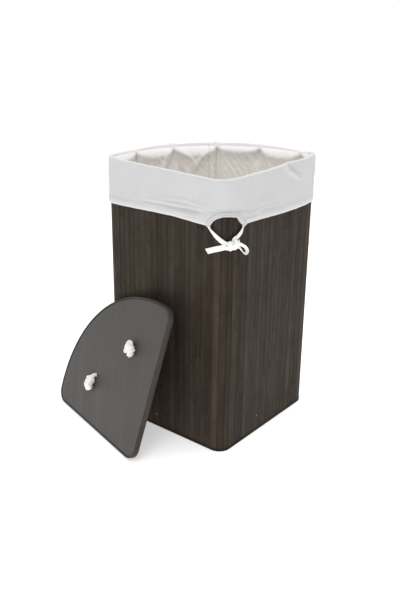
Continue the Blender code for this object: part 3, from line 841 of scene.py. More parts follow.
def knot_heart(depth, mirror, shift):
    """Rings of a lumpy egg that fills a rope knot: places along it, across it and out of the board."""
    turns = np.linspace(0, FULL_TURN, 20, endpoint=False)
    rings = []
    for share in np.linspace(-0.98, 0.98, 15):
        girth = math.sqrt(1 - share * share) * (1.0 + 0.10 * math.sin(7 * share + mirror))
        swell = 1 + 0.09 * np.sin(3 * turns + 4 * share) + 0.05 * np.sin(5 * turns - 6 * share)
        rings.append([(shift + 0.0200 * share, 0.0122 * girth * part * math.cos(turn),
                       depth - 0.0012 + 0.0088 * girth * part * math.sin(turn))
                      for turn, part in zip(turns, swell)])
    return rings


def overhand(hole, hang, axis, mirror):
    """A rope's end, out of its hole and once round itself: the line of the knot, and its heart."""
    origin = hole_point(hole, 0.0)
    centre = origin + hole_point(hang, 0.0).normalized() * 0.0195
    way = hole_point(axis, 0.0).normalized()
    aside = Vector((-way.y, way.x, 0)) * mirror
    away = Vector((0, 0, -1))

    def local(x, y, depth):
        return centre + way * x + aside * y + away * depth

    size, depth = 0.0033, 0.0112
    found = [origin + away * height for height in (-LID_T + 0.0004, -0.004, 0.0045)]
    found.append(origin.lerp(local(-0.0060, 0.0050, 0.0), 0.5) + away * 0.0100)
    start, end = 5 * math.pi / 3 + 0.34, 5 * math.pi / 3 + FULL_TURN - 0.30
    for t in np.linspace(start, end, 15):
        x = (math.cos(t) - 2 * math.cos(2 * t)) * size * 1.30
        y = -(math.sin(t) + 2 * math.sin(2 * t)) * size
        found.append(local(x, y, depth - 0.0036 * math.sin(3 * t)))
    found += [local(0.0105, 0.0036, depth + 0.001), local(0.0128, 0.0020, depth)]
    rings = knot_heart(depth, mirror, 0.0008 - 0.0030 * mirror)
    heart = [[LID_FRAME @ local(*place) for place in ring] for ring in rings]
    return np.array([LID_FRAME @ p for p in found]), np.array(heart)


def handle():
    """The rope between the lid's two holes and the knot in each of its ends."""
    first, last = (hole_point(hole, ROPE_LIFT) for hole in HOLES)
    across = (last - first).normalized()
    down = LID_FRAME.to_3x3().inverted() @ Vector((0, 0, -1))
    down = (down - down.dot(across) * across).normalized()
    points = []
    count = 17
    for i in range(count):
        t = i / (count - 1)
        sag = ROPE_SAG * math.sin(math.pi * t) ** 0.9
        points.append(LID_FRAME @ (first.lerp(last, t) + down * sag))
    points = np.array([list(p) for p in points])
    for name, hole, hang, axis, mirror in zip(("upper", "lower"), HOLES, KNOT_LEAN, KNOT_AXIS, (1, -1)):
        shape = Shape()
        line, heart = overhand(hole, hang, axis, mirror)
        line = smooth_route(line, 90)
        shape.tube(heart, lie=heart - heart.mean(axis=(0, 1)))
        swell = [0.76, 0.76, 1.0, 1.12, 1.04, 1.0, 1.08, 1.0, 1.10, 1.02, 1.08, 1.0, 0.92]
        way = twisted(shape, line, 0.0058, 0.026, 40.0 + 7 * mirror, swell)
        frayed_end(shape, line[-1], way, 11 + mirror, 0.0042)
        shape.make(f"rope_knot_{name}", "rope", "lid", "rope_cotton",
                               (f"handle_knot_{name}",), sharp=0)
    shape = Shape()
    twisted(shape, points, ROPE_R, 0.021, 3.0)
    made = shape.make("rope_handle", "rope", "lid_handle", "rope_cotton", ("handle_rope",), sharp=0)


drawstring()
handle()


# ---- the slat wall -------------------------------------------------------------------------
SLAT_GAP = 0.00015               # beside each slat
SEAM_GAP = 0.00002               # beside the first and the last, at the seam


def slat_edges(draws):
    """Where each slat of the mat begins, from the seam in the back once round."""
    count = round(ROUND / SLAT_WIDTH)
    widths = SLAT_WIDTH * draws.uniform(0.84, 1.14, count)
    return ROUND / 2 + np.concatenate([[0], np.cumsum(widths)]) * ROUND / widths.sum()


def slat_rings(heights):
    """The rows of a slat: its ends, and its low rings where the stem's joints were."""
    chamfer = 0.0003
    rows = [(0.0, -chamfer, 0.0), (chamfer, 0.0, 0.0)]
    for height in heights:
        rows += [(height - 0.006, 0.0, 0.0), (height - 0.0016, 0.00010, 0.6), (height, 0.00026, 1.0),
                 (height + 0.0010, -0.00006, 0.7), (height + 0.0040, 0.0, 0.0)]
    rows += [(WALL_TOP - chamfer, 0.0, 0.0), (WALL_TOP, -chamfer, 0.0)]
    return rows


def slat(shape, near, far, bend, rows, tone, seed):
    """Adds the slat between two distances on the plan; its rows are (height, proud, ring mark)."""
    chamfer = 0.00026
    width = far - near
    inner = max(2, math.ceil(abs(bend) / math.radians(6)) + 1)
    edge = chamfer / width
    across = [0.0, 0.0, *np.linspace(edge, 1 - edge, inner), 1.0, 1.0]
    depths = [-SLAT_T, -chamfer, *([0.0] * inner), -chamfer, -SLAT_T]
    edges = [1.0, 1.0, *([0.0] * inner), 1.0, 1.0]
    edges[2] = edges[-3] = 0.35
    across, depths = np.array(across), np.array(depths)
    facing = (np.abs(depths) < SLAT_T * 0.9).astype(float)
    along, lift, ring = (column[:, None] for column in np.array(rows).T)
    rings = BODY.spot(near + across * width, depths + lift * facing, along)
    grid = rings.shape[:2]
    shape.tube(rings, lie=lying(grid, across * width, along, seed), tone=tone,
               ring=(ring * facing).ravel(), edge=np.broadcast_to(edges, grid).ravel())


# slats near the front corner that took the stain less or more than the rest: place and tone
ODD_SLATS = (
    (-0.040, 0.45), (-0.024, 0.85), (-0.008, 0.15), (0.008, 0.10), (0.026, 0.65), (0.060, 0.30),
    (0.076, 1.0),
)


def wall():
    """The mat of slats, one piece for each stretch of the wall."""
    draws = np.random.default_rng(5)
    starts = slat_edges(draws)
    end = ROUND
    step = (end - 2 * BODY.rear_end) / 6
    stretches = [
        ("front_corner", -BODY.front, BODY.front), ("right", BODY.front, BODY.side_end),
        ("rear_corner_right", BODY.side_end, BODY.rear_end),
        ("rear_corner_left", end - BODY.rear_end, end - BODY.side_end),
        ("left", end - BODY.side_end, end - BODY.front),
        *((f"back_{i + 1}", BODY.rear_end + i * step, BODY.rear_end + (i + 1) * step) for i in range(6)),
    ]
    shapes = {name: Shape() for name, _, _ in stretches}
    for index, (near, far) in enumerate(zip(starts, starts[1:])):
        near = near + (SLAT_GAP if index else SEAM_GAP)
        far = far - (SLAT_GAP if index < len(starts) - 2 else SEAM_GAP)
        middle = ((near + far) / 2) % end
        name = next(n for n, a, b in stretches if a <= middle < b or a <= middle - end < b)
        _, _, headings = BODY.at(np.array([near, far]))
        bend = (headings[1] - headings[0]) % FULL_TURN
        first = draws.uniform(0.03, 0.30)
        spacing = draws.uniform(0.19, 0.31)
        heights = [first + k * spacing for k in range(4) if first + k * spacing < WALL_TOP - 0.02]
        tone = np.clip(draws.normal(0.5, 0.26), 0, 1)
        for at, chosen in ODD_SLATS:
            if near < at % end + (end if at % end < starts[0] else 0) < far:
                tone = chosen
        slat(shapes[name], near, far, bend, slat_rings(heights), tone, 7.3 * index)
    for name, shape in shapes.items():
        shape.make(f"slats_{name}", "slats", "hamper", "bamboo_dark", (f"wall_{name}",))


def sweep(name, plan, first, last, profile, step, look, body, slot, replaces, to_world=None):
    """A strip whose rounded outline follows a plan exactly."""
    count = math.ceil((last - first) / step) + 1
    around = np.linspace(first, last, count)
    points = plan.spot(around[:, None], profile[None, :, 0], profile[None, :, 1])
    if to_world:
        points = to_world(points)
    walked = walk(np.vstack([profile, profile[:1]]))[:-1]
    lie = lying(points.shape[:2], walked, around[:, None] - first, 1.0)
    low, high = profile.min(axis=0), profile.max(axis=0)
    rim = np.minimum(np.minimum(profile[:, 0] - low[0], high[0] - profile[:, 0]),
                     np.minimum(profile[:, 1] - low[1], high[1] - profile[:, 1]))
    edge = np.broadcast_to(np.where(rim < 1e-7, 0.15, 1.0)[None, :], points.shape[:2])
    shape = Shape()
    shape.tube(points, lie=lie, tone=0.5, ring=0.0, edge=edge.ravel())
    return shape.make(name, look, body, slot, replaces)


def trims():
    """The tapes along the wall's lower and upper edge."""
    seam = ROUND / 2
    gap = 0.0001
    for name, (low, high) in (("bottom_trim", BOTTOM_TRIM_Z), ("top_trim", TOP_TRIM_Z)):
        profile = rounded((gap, low), (gap + TRIM_T, high), 0.0003)
        sweep(f"{name}_strip", BODY, seam + 0.0004, seam + ROUND - 0.0004, profile, 0.004, "trim", "hamper",
              "bamboo_trim", (name,))


wall()
trims()
refinish("backing", "backing_cloth")
refinish("pale", "rim_hoop", "seam_strip")
refinish("wood", "base_batten_left", "base_batten_right", "base_batten_cross", "base_board")
refinish("steel", "nail_left", "nail_right", "nail_back_1", "nail_back_2", "nail_back_3")


# ---- the liner -----------------------------------------------------------------------------
PINCHES = (0.045, 0.148, 0.255, 0.379, 0.4875, 0.596, 0.708, 0.812, 0.918, 1.020, 1.120)
SCALLOPS = (0.35, 0.4, 0.7, 1.0, 0.75, 1.05, 1.0, 0.9, 0.7, 0.45, 0.35)
SEAM_AT = 0.616
HOOD = 0.0055                    # half the height of the roll over the rim
STITCH_LIFT = 0.0192             # the sewn line above the hem's lower edge
STITCH = 0.0042                  # from one stitch to the next
PUCKER = 0.0115                  # from one pucker of the hem to the next
HEM_INSIDE = 0.0052              # the turned-in cloth above the arch's edge
HEM_DEPTH = 0.0140               # how much more of it there is away from the mouths


def around_gap(a, b):
    """The signed distance from b to a, the short way round."""
    return np.mod(a - b + ROUND / 2, ROUND) - ROUND / 2


def bell(away, width, power=2):
    """1 in the middle, falling smoothly to 0 on both sides."""
    return np.exp(-((away / width) ** power))


def hump(s, at, width, power=2):
    """A smooth hump of height 1 round a distance on the plan."""
    return bell(around_gap(s, at), width, power)


def corner_humps(s, at, width):
    """The same hump at both rear corners, a distance after the end of the straight sides."""
    return hump(s, BODY.side_end + at, width) + hump(s, ROUND - BODY.side_end - at, width)


def ripples(s, z, seed, turns, heights, size):
    """Smooth waves that close up round the plan; turns and heights bound their counts each way."""
    draws = np.random.default_rng(seed)
    found = np.zeros(np.broadcast(s, z).shape)
    count = 14
    for _ in range(count):
        m = draws.integers(turns[0], turns[1] + 1) * draws.choice([-1, 1])
        n = draws.uniform(*heights) * draws.choice([-1, 1])
        phase = draws.uniform(0, FULL_TURN)
        found += np.sin(FULL_TURN * (m * s / ROUND + n * z) + phase)
    return size * found / math.sqrt(count)


def nearest(s, z, line):
    """How far places on the wall are from a line of places (s, z), and how far along it that is."""
    best = np.full(np.broadcast(s, z).shape, 1e9)
    along = np.zeros(best.shape)
    for (s0, z0), (s1, z1), walked in zip(line, line[1:], walk(line)):
        du, dz = s1 - s0, z1 - z0
        beside = around_gap(s, s0)
        t = np.clip((beside * du + (z - z0) * dz) / (du * du + dz * dz), 0, 1)
        away = np.hypot(beside - t * du, z - z0 - t * dz)
        nearer = away < best
        best = np.where(nearer, away, best)
        along = np.where(nearer, walked + t * math.hypot(du, dz), along)
    return best, along


def crease(s, z, points, width, height):
    """A ridge along a line of places (s, z), fading at both ends."""
    points = np.asarray(points, float)
    away, along = nearest(s, z, points)
    fade = np.sin(math.pi * np.clip(along / walk(points)[-1], 0.03, 0.97)) ** 0.6
    return height * fade * bell(away, width)


def level_at(s, places):
    """The height of a line through places (s, z) near the front corner, and the hem's height beyond."""
    ends, heights = zip(*places)
    return np.interp(around_gap(s, 0.0), ends, heights, left=HEM_Z, right=HEM_Z)


def hem_level(s):
    """The height of the hem's lower edge, as if it ran on under the arch."""
    return level_at(s, HEM_SAG)


def arch_edge(s):
    """The lower edge of the cuff: the hem, and the arch between the drawstring's mouths."""
    return level_at(s, sorted(HEM_SAG + ARCH))


ARCH_LINE = np.array([(s, float(arch_edge(s))) for s in np.linspace(*MOUTH, 61)])


def stitch_height(s):
    """The line that sews the hem: along it, and lifted where it runs over the arch."""
    return hem_level(s) + STITCH_LIFT + 0.0150 * hump(s, 0.0, 0.070)


CUFF_FOLDS = (
    (((0.176, 0.654), (0.196, 0.642), (0.224, 0.624), (0.262, 0.606)), 0.0056, 0.0062),
    (((0.192, 0.654), (0.216, 0.638), (0.244, 0.622), (0.270, 0.612)), 0.0046, -0.0034),
    (((0.298, 0.652), (0.305, 0.636), (0.306, 0.618)), 0.0060, 0.0026),
    (((0.282, 0.640), (0.292, 0.600), (0.288, 0.560)), 0.0080, 0.0016),
    (((-0.230, 0.572), (-0.120, 0.5775), (-0.030, 0.5800)), 0.0036, 0.0026),
    (((-0.230, 0.566), (-0.120, 0.5705), (-0.040, 0.5730)), 0.0022, -0.0014),
    (((-0.190, 0.582), (-0.110, 0.5900), (-0.020, 0.5860)), 0.0040, 0.0026),
    (((-0.150, 0.5600), (-0.100, 0.5625), (-0.046, 0.5640)), 0.0030, 0.0022),
    (((0.034, 0.576), (0.062, 0.566), (0.120, 0.568)), 0.0036, 0.0028),
    (((0.040, 0.560), (0.062, 0.556), (0.085, 0.557)), 0.0026, 0.0022),
    (((0.060, 0.575), (0.110, 0.582), (0.170, 0.578)), 0.0060, 0.0012),
    (((0.000, 0.600), (0.004, 0.625), (0.002, 0.645)), 0.0120, 0.0012),
    (((-0.070, 0.610), (-0.064, 0.630), (-0.060, 0.648)), 0.0110, 0.0014),
    (((0.090, 0.596), (0.098, 0.620), (0.096, 0.646)), 0.0120, 0.0012),
)


# round the arch: the tape's casing, the seam that holds it, and the roll of cloth behind it
ARCH_ROLLS = (
    (0.0012, 0.0016, 0.0010), (0.0034, 0.0009, -0.0016), (0.0056, 0.0015, 0.0026), (0.0084, 0.0015, -0.0012),
)


def cuff_out(s, z):
    """How far the cuff's cloth stands outside the wall."""
    edge = arch_edge(s)
    sewn = stitch_height(s)
    found = OUTSIDE + ripples(s, z, 21, (6, 16), (1.0, 6.0), 0.0006)
    found += ripples(s, z, 22, (20, 44), (3.0, 14.0), 0.00022)
    share = np.clip((z - edge) / np.maximum(sewn - edge, 1e-6), 0, 1)
    flare = 0.0012 + 0.0020 * hump(s, 0.0, 0.16)
    found += 0.0008 * np.sin(math.pi * share) + flare * (1 - share)
    valley = bell(z - sewn, 0.0016)
    found -= (0.0004 + 0.0006 * hump(s, 0.0, 0.05)) * valley
    drift = 3.0 * np.sin(FULL_TURN * s * 5 / ROUND)
    pucker = np.sin(FULL_TURN * s * round(ROUND / PUCKER) / ROUND + drift)
    found += 0.00035 * pucker * np.exp(-np.abs(z - sewn) / 0.007)
    for points, width, height in CUFF_FOLDS:
        found += crease(s, z, points, width, height)
    near = np.abs(around_gap(s, 0.0)) < 0.09
    away = np.where(near, nearest(s, z, ARCH_LINE)[0], 1.0)
    for place, width, height in ARCH_ROLLS:
        found += height * bell(away - place, width)
    return np.maximum(found - 0.0015 * corner_humps(s, 0.022, 0.040), 0.0022)


def between_pinches(s):
    """0 at each pinch of the rim and up to 1 half-way between, and the size of that scallop."""
    s = np.mod(s, ROUND)
    marks = np.array([PINCHES[-1] - ROUND, *PINCHES, PINCHES[0] + ROUND])
    sizes = np.array([SCALLOPS[-1], *SCALLOPS])
    k = np.clip(np.searchsorted(marks, s, side="right") - 1, 0, len(marks) - 2)
    t = (s - marks[k]) / (marks[k + 1] - marks[k])
    return np.sin(math.pi * t), sizes[k]


INNER_FOLDS = (
    (((0.379, 0.640), (0.372, 0.590), (0.360, 0.520)), 0.0070, -0.0035),
    (((0.392, 0.636), (0.412, 0.600), (0.440, 0.560)), 0.0080, 0.0035),
    (((0.362, 0.640), (0.345, 0.600), (0.338, 0.540)), 0.0080, 0.0035),
    (((0.4875, 0.642), (0.492, 0.620), (0.498, 0.600)), 0.0070, -0.0045),
    (((0.520, 0.618), (0.517, 0.600), (0.514, 0.580), (0.510, 0.560)), 0.0030, -0.0022),
    (((0.474, 0.640), (0.462, 0.600), (0.456, 0.550)), 0.0090, 0.0032),
    (((0.596, 0.643), (0.594, 0.580), (0.590, 0.500)), 0.0065, -0.0060),
    (((0.582, 0.640), (0.576, 0.600), (0.580, 0.540)), 0.0070, 0.0034),
    (((0.612, 0.640), (0.640, 0.612), (0.665, 0.585)), 0.0080, 0.0035),
    (((0.708, 0.642), (0.695, 0.600), (0.672, 0.550), (0.652, 0.500)), 0.0080, -0.0045),
    (((0.696, 0.641), (0.664, 0.616), (0.642, 0.580)), 0.0070, 0.0036),
    (((0.716, 0.640), (0.740, 0.600), (0.750, 0.540)), 0.0100, 0.0050),
    (((0.812, 0.642), (0.820, 0.590), (0.816, 0.520)), 0.0090, -0.0050),
    (((0.918, 0.642), (0.910, 0.590), (0.915, 0.520)), 0.0090, -0.0050),
)


def inner_out(s, z):
    """How far the liner's inner side stands from the wall: never outside its cloth's place."""
    below = np.maximum(RIM_Z - HOOD - z, 0.0)
    wave, size = between_pinches(s)
    swag = 0.0030 + 0.0165 * size**1.4 * np.abs(wave) ** 0.55
    above = np.sin(math.pi / 2 * np.clip(below / swag, 0, 1)) ** 0.9
    under = 0.50 + 0.50 * bell(np.maximum(below - swag, 0), 0.020, 1.4)
    found = 0.0150 * size * np.abs(wave) ** 0.40 * above * under
    slack = 1 - np.exp(-below / 0.05)
    rest = np.clip((z - BAG_FLOOR) / 0.12, 0, 1)
    loose = slack * (0.35 + 0.65 * rest)
    found += loose * (0.0050 + ripples(s, z, 31, (5, 13), (0.6, 3.0), 0.0026))
    found += loose * ripples(s, z, 32, (16, 34), (1.5, 7.0), 0.0011)
    found += np.clip(below / 0.02, 0, 1) * ripples(s, z, 33, (40, 80), (24, 60), 0.00042)
    corner = corner_humps(s, (BODY.rear_end - BODY.side_end) / 2, 0.035) + hump(s, 0.0, 0.035)
    found += 0.006 * corner * loose
    for points, width, height in INNER_FOLDS:
        found += crease(s, z, points, width, height) * np.clip(below / 0.006, 0, 1)
    strip = np.clip((around_gap(s, SEAM_AT - 0.0155) / 0.0018), 0, 1)
    strip = strip * np.clip((-around_gap(s, SEAM_AT) / 0.0010), 0, 1)
    found += 0.0010 * strip
    found -= 0.0012 * hump(s, SEAM_AT + 0.0008, 0.0020)
    return INSIDE - np.maximum(found, 0.0)


# where the front of the rim rises or dips: place, width, height
RIM_WAVES = (
    (0.045, 0.060, 0.0020), (0.150, 0.045, -0.0008), (0.005, 0.030, 0.0018), (0.215, 0.035, 0.0028),
    (0.285, 0.018, -0.0016),
)


def rim_height(s):
    """The top of the roll, slightly wavy."""
    wave, size = between_pinches(s)
    found = RIM_Z - 0.0034 + 0.0028 * corner_humps(s, 0.01, 0.03) + 0.0080 * hump(s, ROUND / 2, 0.230, 4)
    for at, width, height in RIM_WAVES:
        found += height * hump(s, at, width)
    found -= 0.0018 * size * (1 - np.abs(wave) ** 0.4)
    return found + ripples(s, 0.0, 41, (4, 12), (0, 0), 0.0005)


def liner_columns():
    """Distances round the plan: close together over the arch and at the seam."""
    near, far = SEAM_AT - 0.020, SEAM_AT + 0.006
    return np.concatenate([
        np.arange(-0.066, 0.066, 0.0013), np.linspace(0.066, near, 190, endpoint=False),
        np.linspace(near, far, 36, endpoint=False), np.linspace(far, ROUND - 0.066, 200, endpoint=False),
    ])


def liner_grid():
    """The places of the liner's one sheet: up inside, over the rim, down outside, turned in and up."""
    s = liner_columns()
    top = rim_height(s)
    edge = arch_edge(s)
    rows = []

    # each row carries three colour marks: "inside" for the painted light of the bag's inside, "pale" for
    # painted highlights and "line" for painted shade
    def row(out, z, v, inside, pale=0.0, line=0.0):
        rows.append([np.broadcast_to(value, s.shape) for value in (out, z, v, inside, pale, line)])

    shoulder = RIM_Z - HOOD
    heights = np.concatenate([
        np.linspace(BAG_FLOOR + 0.0006, 0.44, 30, endpoint=False),
        np.linspace(0.44, 0.590, 40, endpoint=False), np.linspace(0.590, shoulder, 30),
    ])
    wave, size = between_pinches(s)
    # hollow is 1 at the pinches: it dents the roll, and there the painted highlight gives way to the painted
    # inside colour and its painted crinkle shade
    hollow = np.minimum(size, 1.0) * bell(np.arcsin(np.abs(wave)), 0.22)
    behind = hump(s, ROUND / 2, 0.260, 6)
    # painted shade: a thin dark line down the seam's groove, carried in the mark "line"
    felled = 0.5 * hump(s, SEAM_AT + 0.0006, 0.0009)
    # up the inside: the painted light colour fades near the top, and a painted highlight lights the top band
    # at the back
    for z in heights:
        row(inner_out(s, z), z, z, 1.0 - 0.80 * max(0.0, (z - 0.608) / 0.04),
            0.45 * behind * (1 - hollow) * max(0.0, 1 - (shoulder - z) / 0.010), felled)
    inner = inner_out(s, shoulder)
    outer = cuff_out(s, shoulder)
    # over the rim: a painted highlight along the roll's crest, taken away at the pinches, where the painted
    # inside colour and its painted crinkle shade reach up over the rim
    for k in range(1, 10):
        turn = math.pi * k / 10
        middle, reach = (inner + outer) / 2, (outer - inner) / 2
        out = middle - reach * math.cos(turn) + 0.0045 * hollow * math.sin(turn) * max(0.0, math.cos(turn))
        row(out, shoulder + (top - shoulder) * math.sin(turn) ** 0.85, shoulder + 0.0017 * k,
            np.maximum(0.2 - 0.02 * k, 0.9 * hollow * max(0.0, 1 - k / 6)),
            (0.04 + 0.96 * behind) * math.sin(turn) ** 0.3 * (1 - 0.7 * hollow))
    shares = np.concatenate([np.linspace(0, 0.62, 26, endpoint=False), np.linspace(0.62, 1.0, 32)])
    # down the cuff: painted highlight at its top at the back and along the flared hem just above its lower
    # edge
    for share in shares:
        z = shoulder + share * (edge + 0.0006 - shoulder)
        row(cuff_out(s, z), z, 2 * shoulder + 0.017 - z, 0.0,
            0.90 * behind * max(0.0, 1 - share / 0.07) + 0.25 * max(0.0, (share - 0.90) / 0.10))
    mouth = np.minimum(np.abs(around_gap(s, MOUTH[0])), np.abs(around_gap(s, MOUTH[1])))
    inside_arch = (around_gap(s, 0.0) > MOUTH[0]) & (around_gap(s, 0.0) < MOUTH[1])
    depth = HEM_INSIDE + np.where(inside_arch, 0.0, HEM_DEPTH * np.clip(mouth / 0.008, 0, 1))
    outer = cuff_out(s, edge + 0.0006)
    back = 0.0019
    for k in range(1, 5):
        turn = math.pi * k / 5
        middle, reach = (outer + back) / 2, (outer - back) / 2
        row(middle + reach * math.cos(turn), edge + 0.0006 - 0.0009 * math.sin(turn), 0.77 + 0.0008 * k, 0.0)
    for share in np.linspace(0.0, 1.0, 7):
        row(back - 0.0003 * share, edge + 0.0006 + share * depth, 0.774 + share * depth, 0.0)
    out, z, v, *marked = np.moveaxis(np.array(rows), 1, 0)
    around = np.broadcast_to(s, out.shape)
    marks = {key: values.ravel() for key, values in zip(("inside", "pale", "line"), marked)}
    return BODY.spot(around, out, z), lying(out.shape, around, v, 0.0), marks


def thicken(made):
    """Gives a sheet the cloth's thickness, half of it on each side."""
    thick = made.modifiers.new("cloth", "SOLIDIFY")
    thick.thickness = CLOTH_T
    thick.offset = 0


def liner():
    """The bag and its cuff: one sheet, sewn to a floor panel."""
    points, lie, marks = liner_grid()
    shape = Shape()
    shape.add(points, lattice(*points.shape[:2]), lie=lie, **marks)
    stretches = ["front_corner", "right", "rear_corner_right", "rear_corner_left", "left"]
    nodes = [f"liner_{name}" for name in stretches + [f"back_{i}" for i in range(1, 6)]]
    nodes += [f"cuff_{name}" for name in ["front"] + stretches[1:] + [f"back_{i}" for i in range(1, 5)]]
    made = shape.make("liner_bag_and_cuff", "cotton", "liner", "liner_cotton", nodes, sharp=0)
    thicken(made)
    stitching = hem_stitches()
    seam = seam_stitches()


def stitches(name, places):
    """A row of short threads: each place is (point, way along the row, way out of the cloth)."""
    shape = Shape()
    bow = np.linspace(-1, 1, 5)
    radius, reach = 0.00032, 0.0013
    sizes = radius * np.array([0.6, 1.0, 1.0, 1.0, 0.6])
    for index, (point, way, proud) in enumerate(places):
        beside = np.cross(way, proud)
        line = point + way * bow[:, None] * reach + proud * (0.00028 * (1 - bow**2) - 0.00010)[:, None]
        rings = rings_round(line, proud[None], beside[None], sizes, 5)
        shape.tube(rings, lie=lying(rings.shape[:2], (bow * reach)[:, None], 0.0, index))
    return shape.make(name, "thread", "liner", "liner_cotton", sharp=0)


def surface_places(s_values, z_values, depth, sign):
    """Places on the cloth with the way along the line and the way out of it."""
    s_values, z_values = np.asarray(s_values, float), np.asarray(z_values, float)
    out = depth(s_values, z_values) + sign * CLOTH_T * 0.55
    points = BODY.spot(s_values, out, z_values)
    forward = ways(points)
    proud = sign * outward_at(s_values)
    proud = unit(proud - (proud * forward).sum(axis=1, keepdims=True) * forward)
    return list(zip(points, forward, proud))


def hem_stitches():
    """The row that closes the hem, and the row round the arch."""
    around = np.arange(0, ROUND - STITCH / 2, STITCH)
    places = surface_places(around, stitch_height(around), cuff_out, 1)
    arch = np.arange(MOUTH[0] + 0.004, MOUTH[1] - 0.003, STITCH)
    places += surface_places(arch, arch_edge(arch) + 0.0050, cuff_out, 1)
    return stitches("hem_stitches", places)


def seam_stitches():
    """Two rows down the felled seam inside the back."""
    heights = np.arange(0.10, 0.630, STITCH)
    places = []
    for aside in (-0.0022, -0.0125):
        places += surface_places(np.full(len(heights), SEAM_AT + aside), heights, inner_out, -1)
    return stitches("seam_stitches", places)


def liner_floor():
    """The bag's floor panel, lying in soft folds on the base board."""
    around = np.linspace(0, ROUND, 180, endpoint=False)
    outline = BODY.spot(around, -0.0086, 0.0)
    centre = np.array([0.0, outline[:, 1].mean(), 0.0])
    shares = np.concatenate([np.linspace(1.0, 0.9, 5, endpoint=False), np.linspace(0.9, 0.03, 26)])
    rings = centre + (outline - centre)[None, :, :] * shares[:, None, None]
    x, y = rings[..., 0], rings[..., 1]
    draws = np.random.default_rng(51)
    lift = np.zeros(x.shape)
    for _ in range(12):
        way = draws.uniform(0, FULL_TURN)
        wave = draws.uniform(4, 14)
        lift += np.sin(FULL_TURN * wave * (x * math.cos(way) + y * math.sin(way)) + draws.uniform(0, 7))
    lift = np.clip(lift / 3.4, -1, 1) * 0.5 + 0.5
    settle = np.clip((1 - shares) / 0.1, 0, 1)[:, None]
    rings[..., 2] = BAG_FLOOR + CLOTH_T * 0.6 + 0.0042 * lift**2 * settle
    rows, columns = rings.shape[:2]
    faces = lattice(rows, columns)
    faces.append([(rows - 1) * columns + i for i in range(columns)])
    shape = Shape()
    shape.add(rings, faces, lie=lying(x.shape, x, y, 0.0))
    made = shape.make("liner_floor_panel", "floor_cotton", "liner", "liner_cotton", ("liner_floor",),
                      sharp=0)
    thicken(made)


def tape_in_hem():
    """The part of the drawstring inside the hem, from the right mouth round to the left one."""
    right, left = MOUTH[1], ROUND + MOUTH[0]
    around = np.linspace(right + 0.0060, left - 0.0060, 240)
    route = [RIGHT_EXIT, (right + 0.0020, 0.0032, HEM_Z + 0.0035)]
    route += list(zip(around, np.full(len(around), 0.0032), hem_level(around) + 0.0062))
    route += [(left - 0.0020, 0.0032, HEM_Z + 0.0035), (ROUND + LEFT_EXIT[0], *LEFT_EXIT[1:])]
    places = np.array(route)
    points = BODY.spot(*places.T)
    widths = np.concatenate([[0.0062, 0.0080], np.full(len(around), 0.0090), [0.0080, 0.0062]])
    shape = Shape()
    ribbon(shape, points, outward_at(places[:, 0]), widths, 0.0011, 0.0, 21.0)
    shape.make("drawstring_in_hem", "tape", "liner", "drawstring_cotton", ("drawstring_hem",), sharp=0)


liner()
liner_floor()
tape_in_hem()


# ---- the lid -------------------------------------------------------------------------------
BAND_GAP = 0.0005                # between the board and the band
BOARD_GRAIN = math.radians(19)   # from the rising edge to the board's grain


def clip(polygon, axis, limit, keep_above):
    """The part of a convex polygon on one side of a line across an axis."""
    found = []
    for a, b in zip(polygon, np.roll(polygon, -1, axis=0)):
        inside_a = (a[axis] >= limit) == keep_above
        inside_b = (b[axis] >= limit) == keep_above
        if inside_a:
            found.append(a)
        if inside_a != inside_b:
            t = (limit - a[axis]) / (b[axis] - a[axis])
            found.append(a + (b - a) * t)
    return np.array(found)


def lid_outline(out):
    """The lid's outline along the floor edge and up the rising edge."""
    around = np.arange(0, LID.length, 0.0035)
    places = LID.spot(around, out, 0.0)
    return np.stack(from_plan(places[:, 0], places[:, 1]), axis=1)


def slab(shape, polygon, low, high, bevel, seed, tone=0.5, fade=0.0004):
    """Adds a flat board with bevelled edges, over a convex outline on the lid."""
    middle = polygon.mean(axis=0)
    inward = unit(middle - polygon)
    rows = [(bevel + fade, low), (bevel, low), (0.0, low + bevel)]
    rows += [(0.0, high - bevel), (bevel, high), (bevel + fade, high)]
    inset, height = (column[:, None] for column in np.array(rows).T)
    along, rising = polygon[:, 0] + inward[:, 0] * inset, polygon[:, 1] + inward[:, 1] * inset
    grid = along.shape
    edge = np.broadcast_to(np.maximum(0.0, 1.0 - inset / (bevel + fade)), grid)
    shape.tube(on_lid(lying(grid, *to_plan(along, rising), height)), lie=lying(grid, along, rising, seed),
               tone=tone, ring=0.0, edge=edge.ravel())


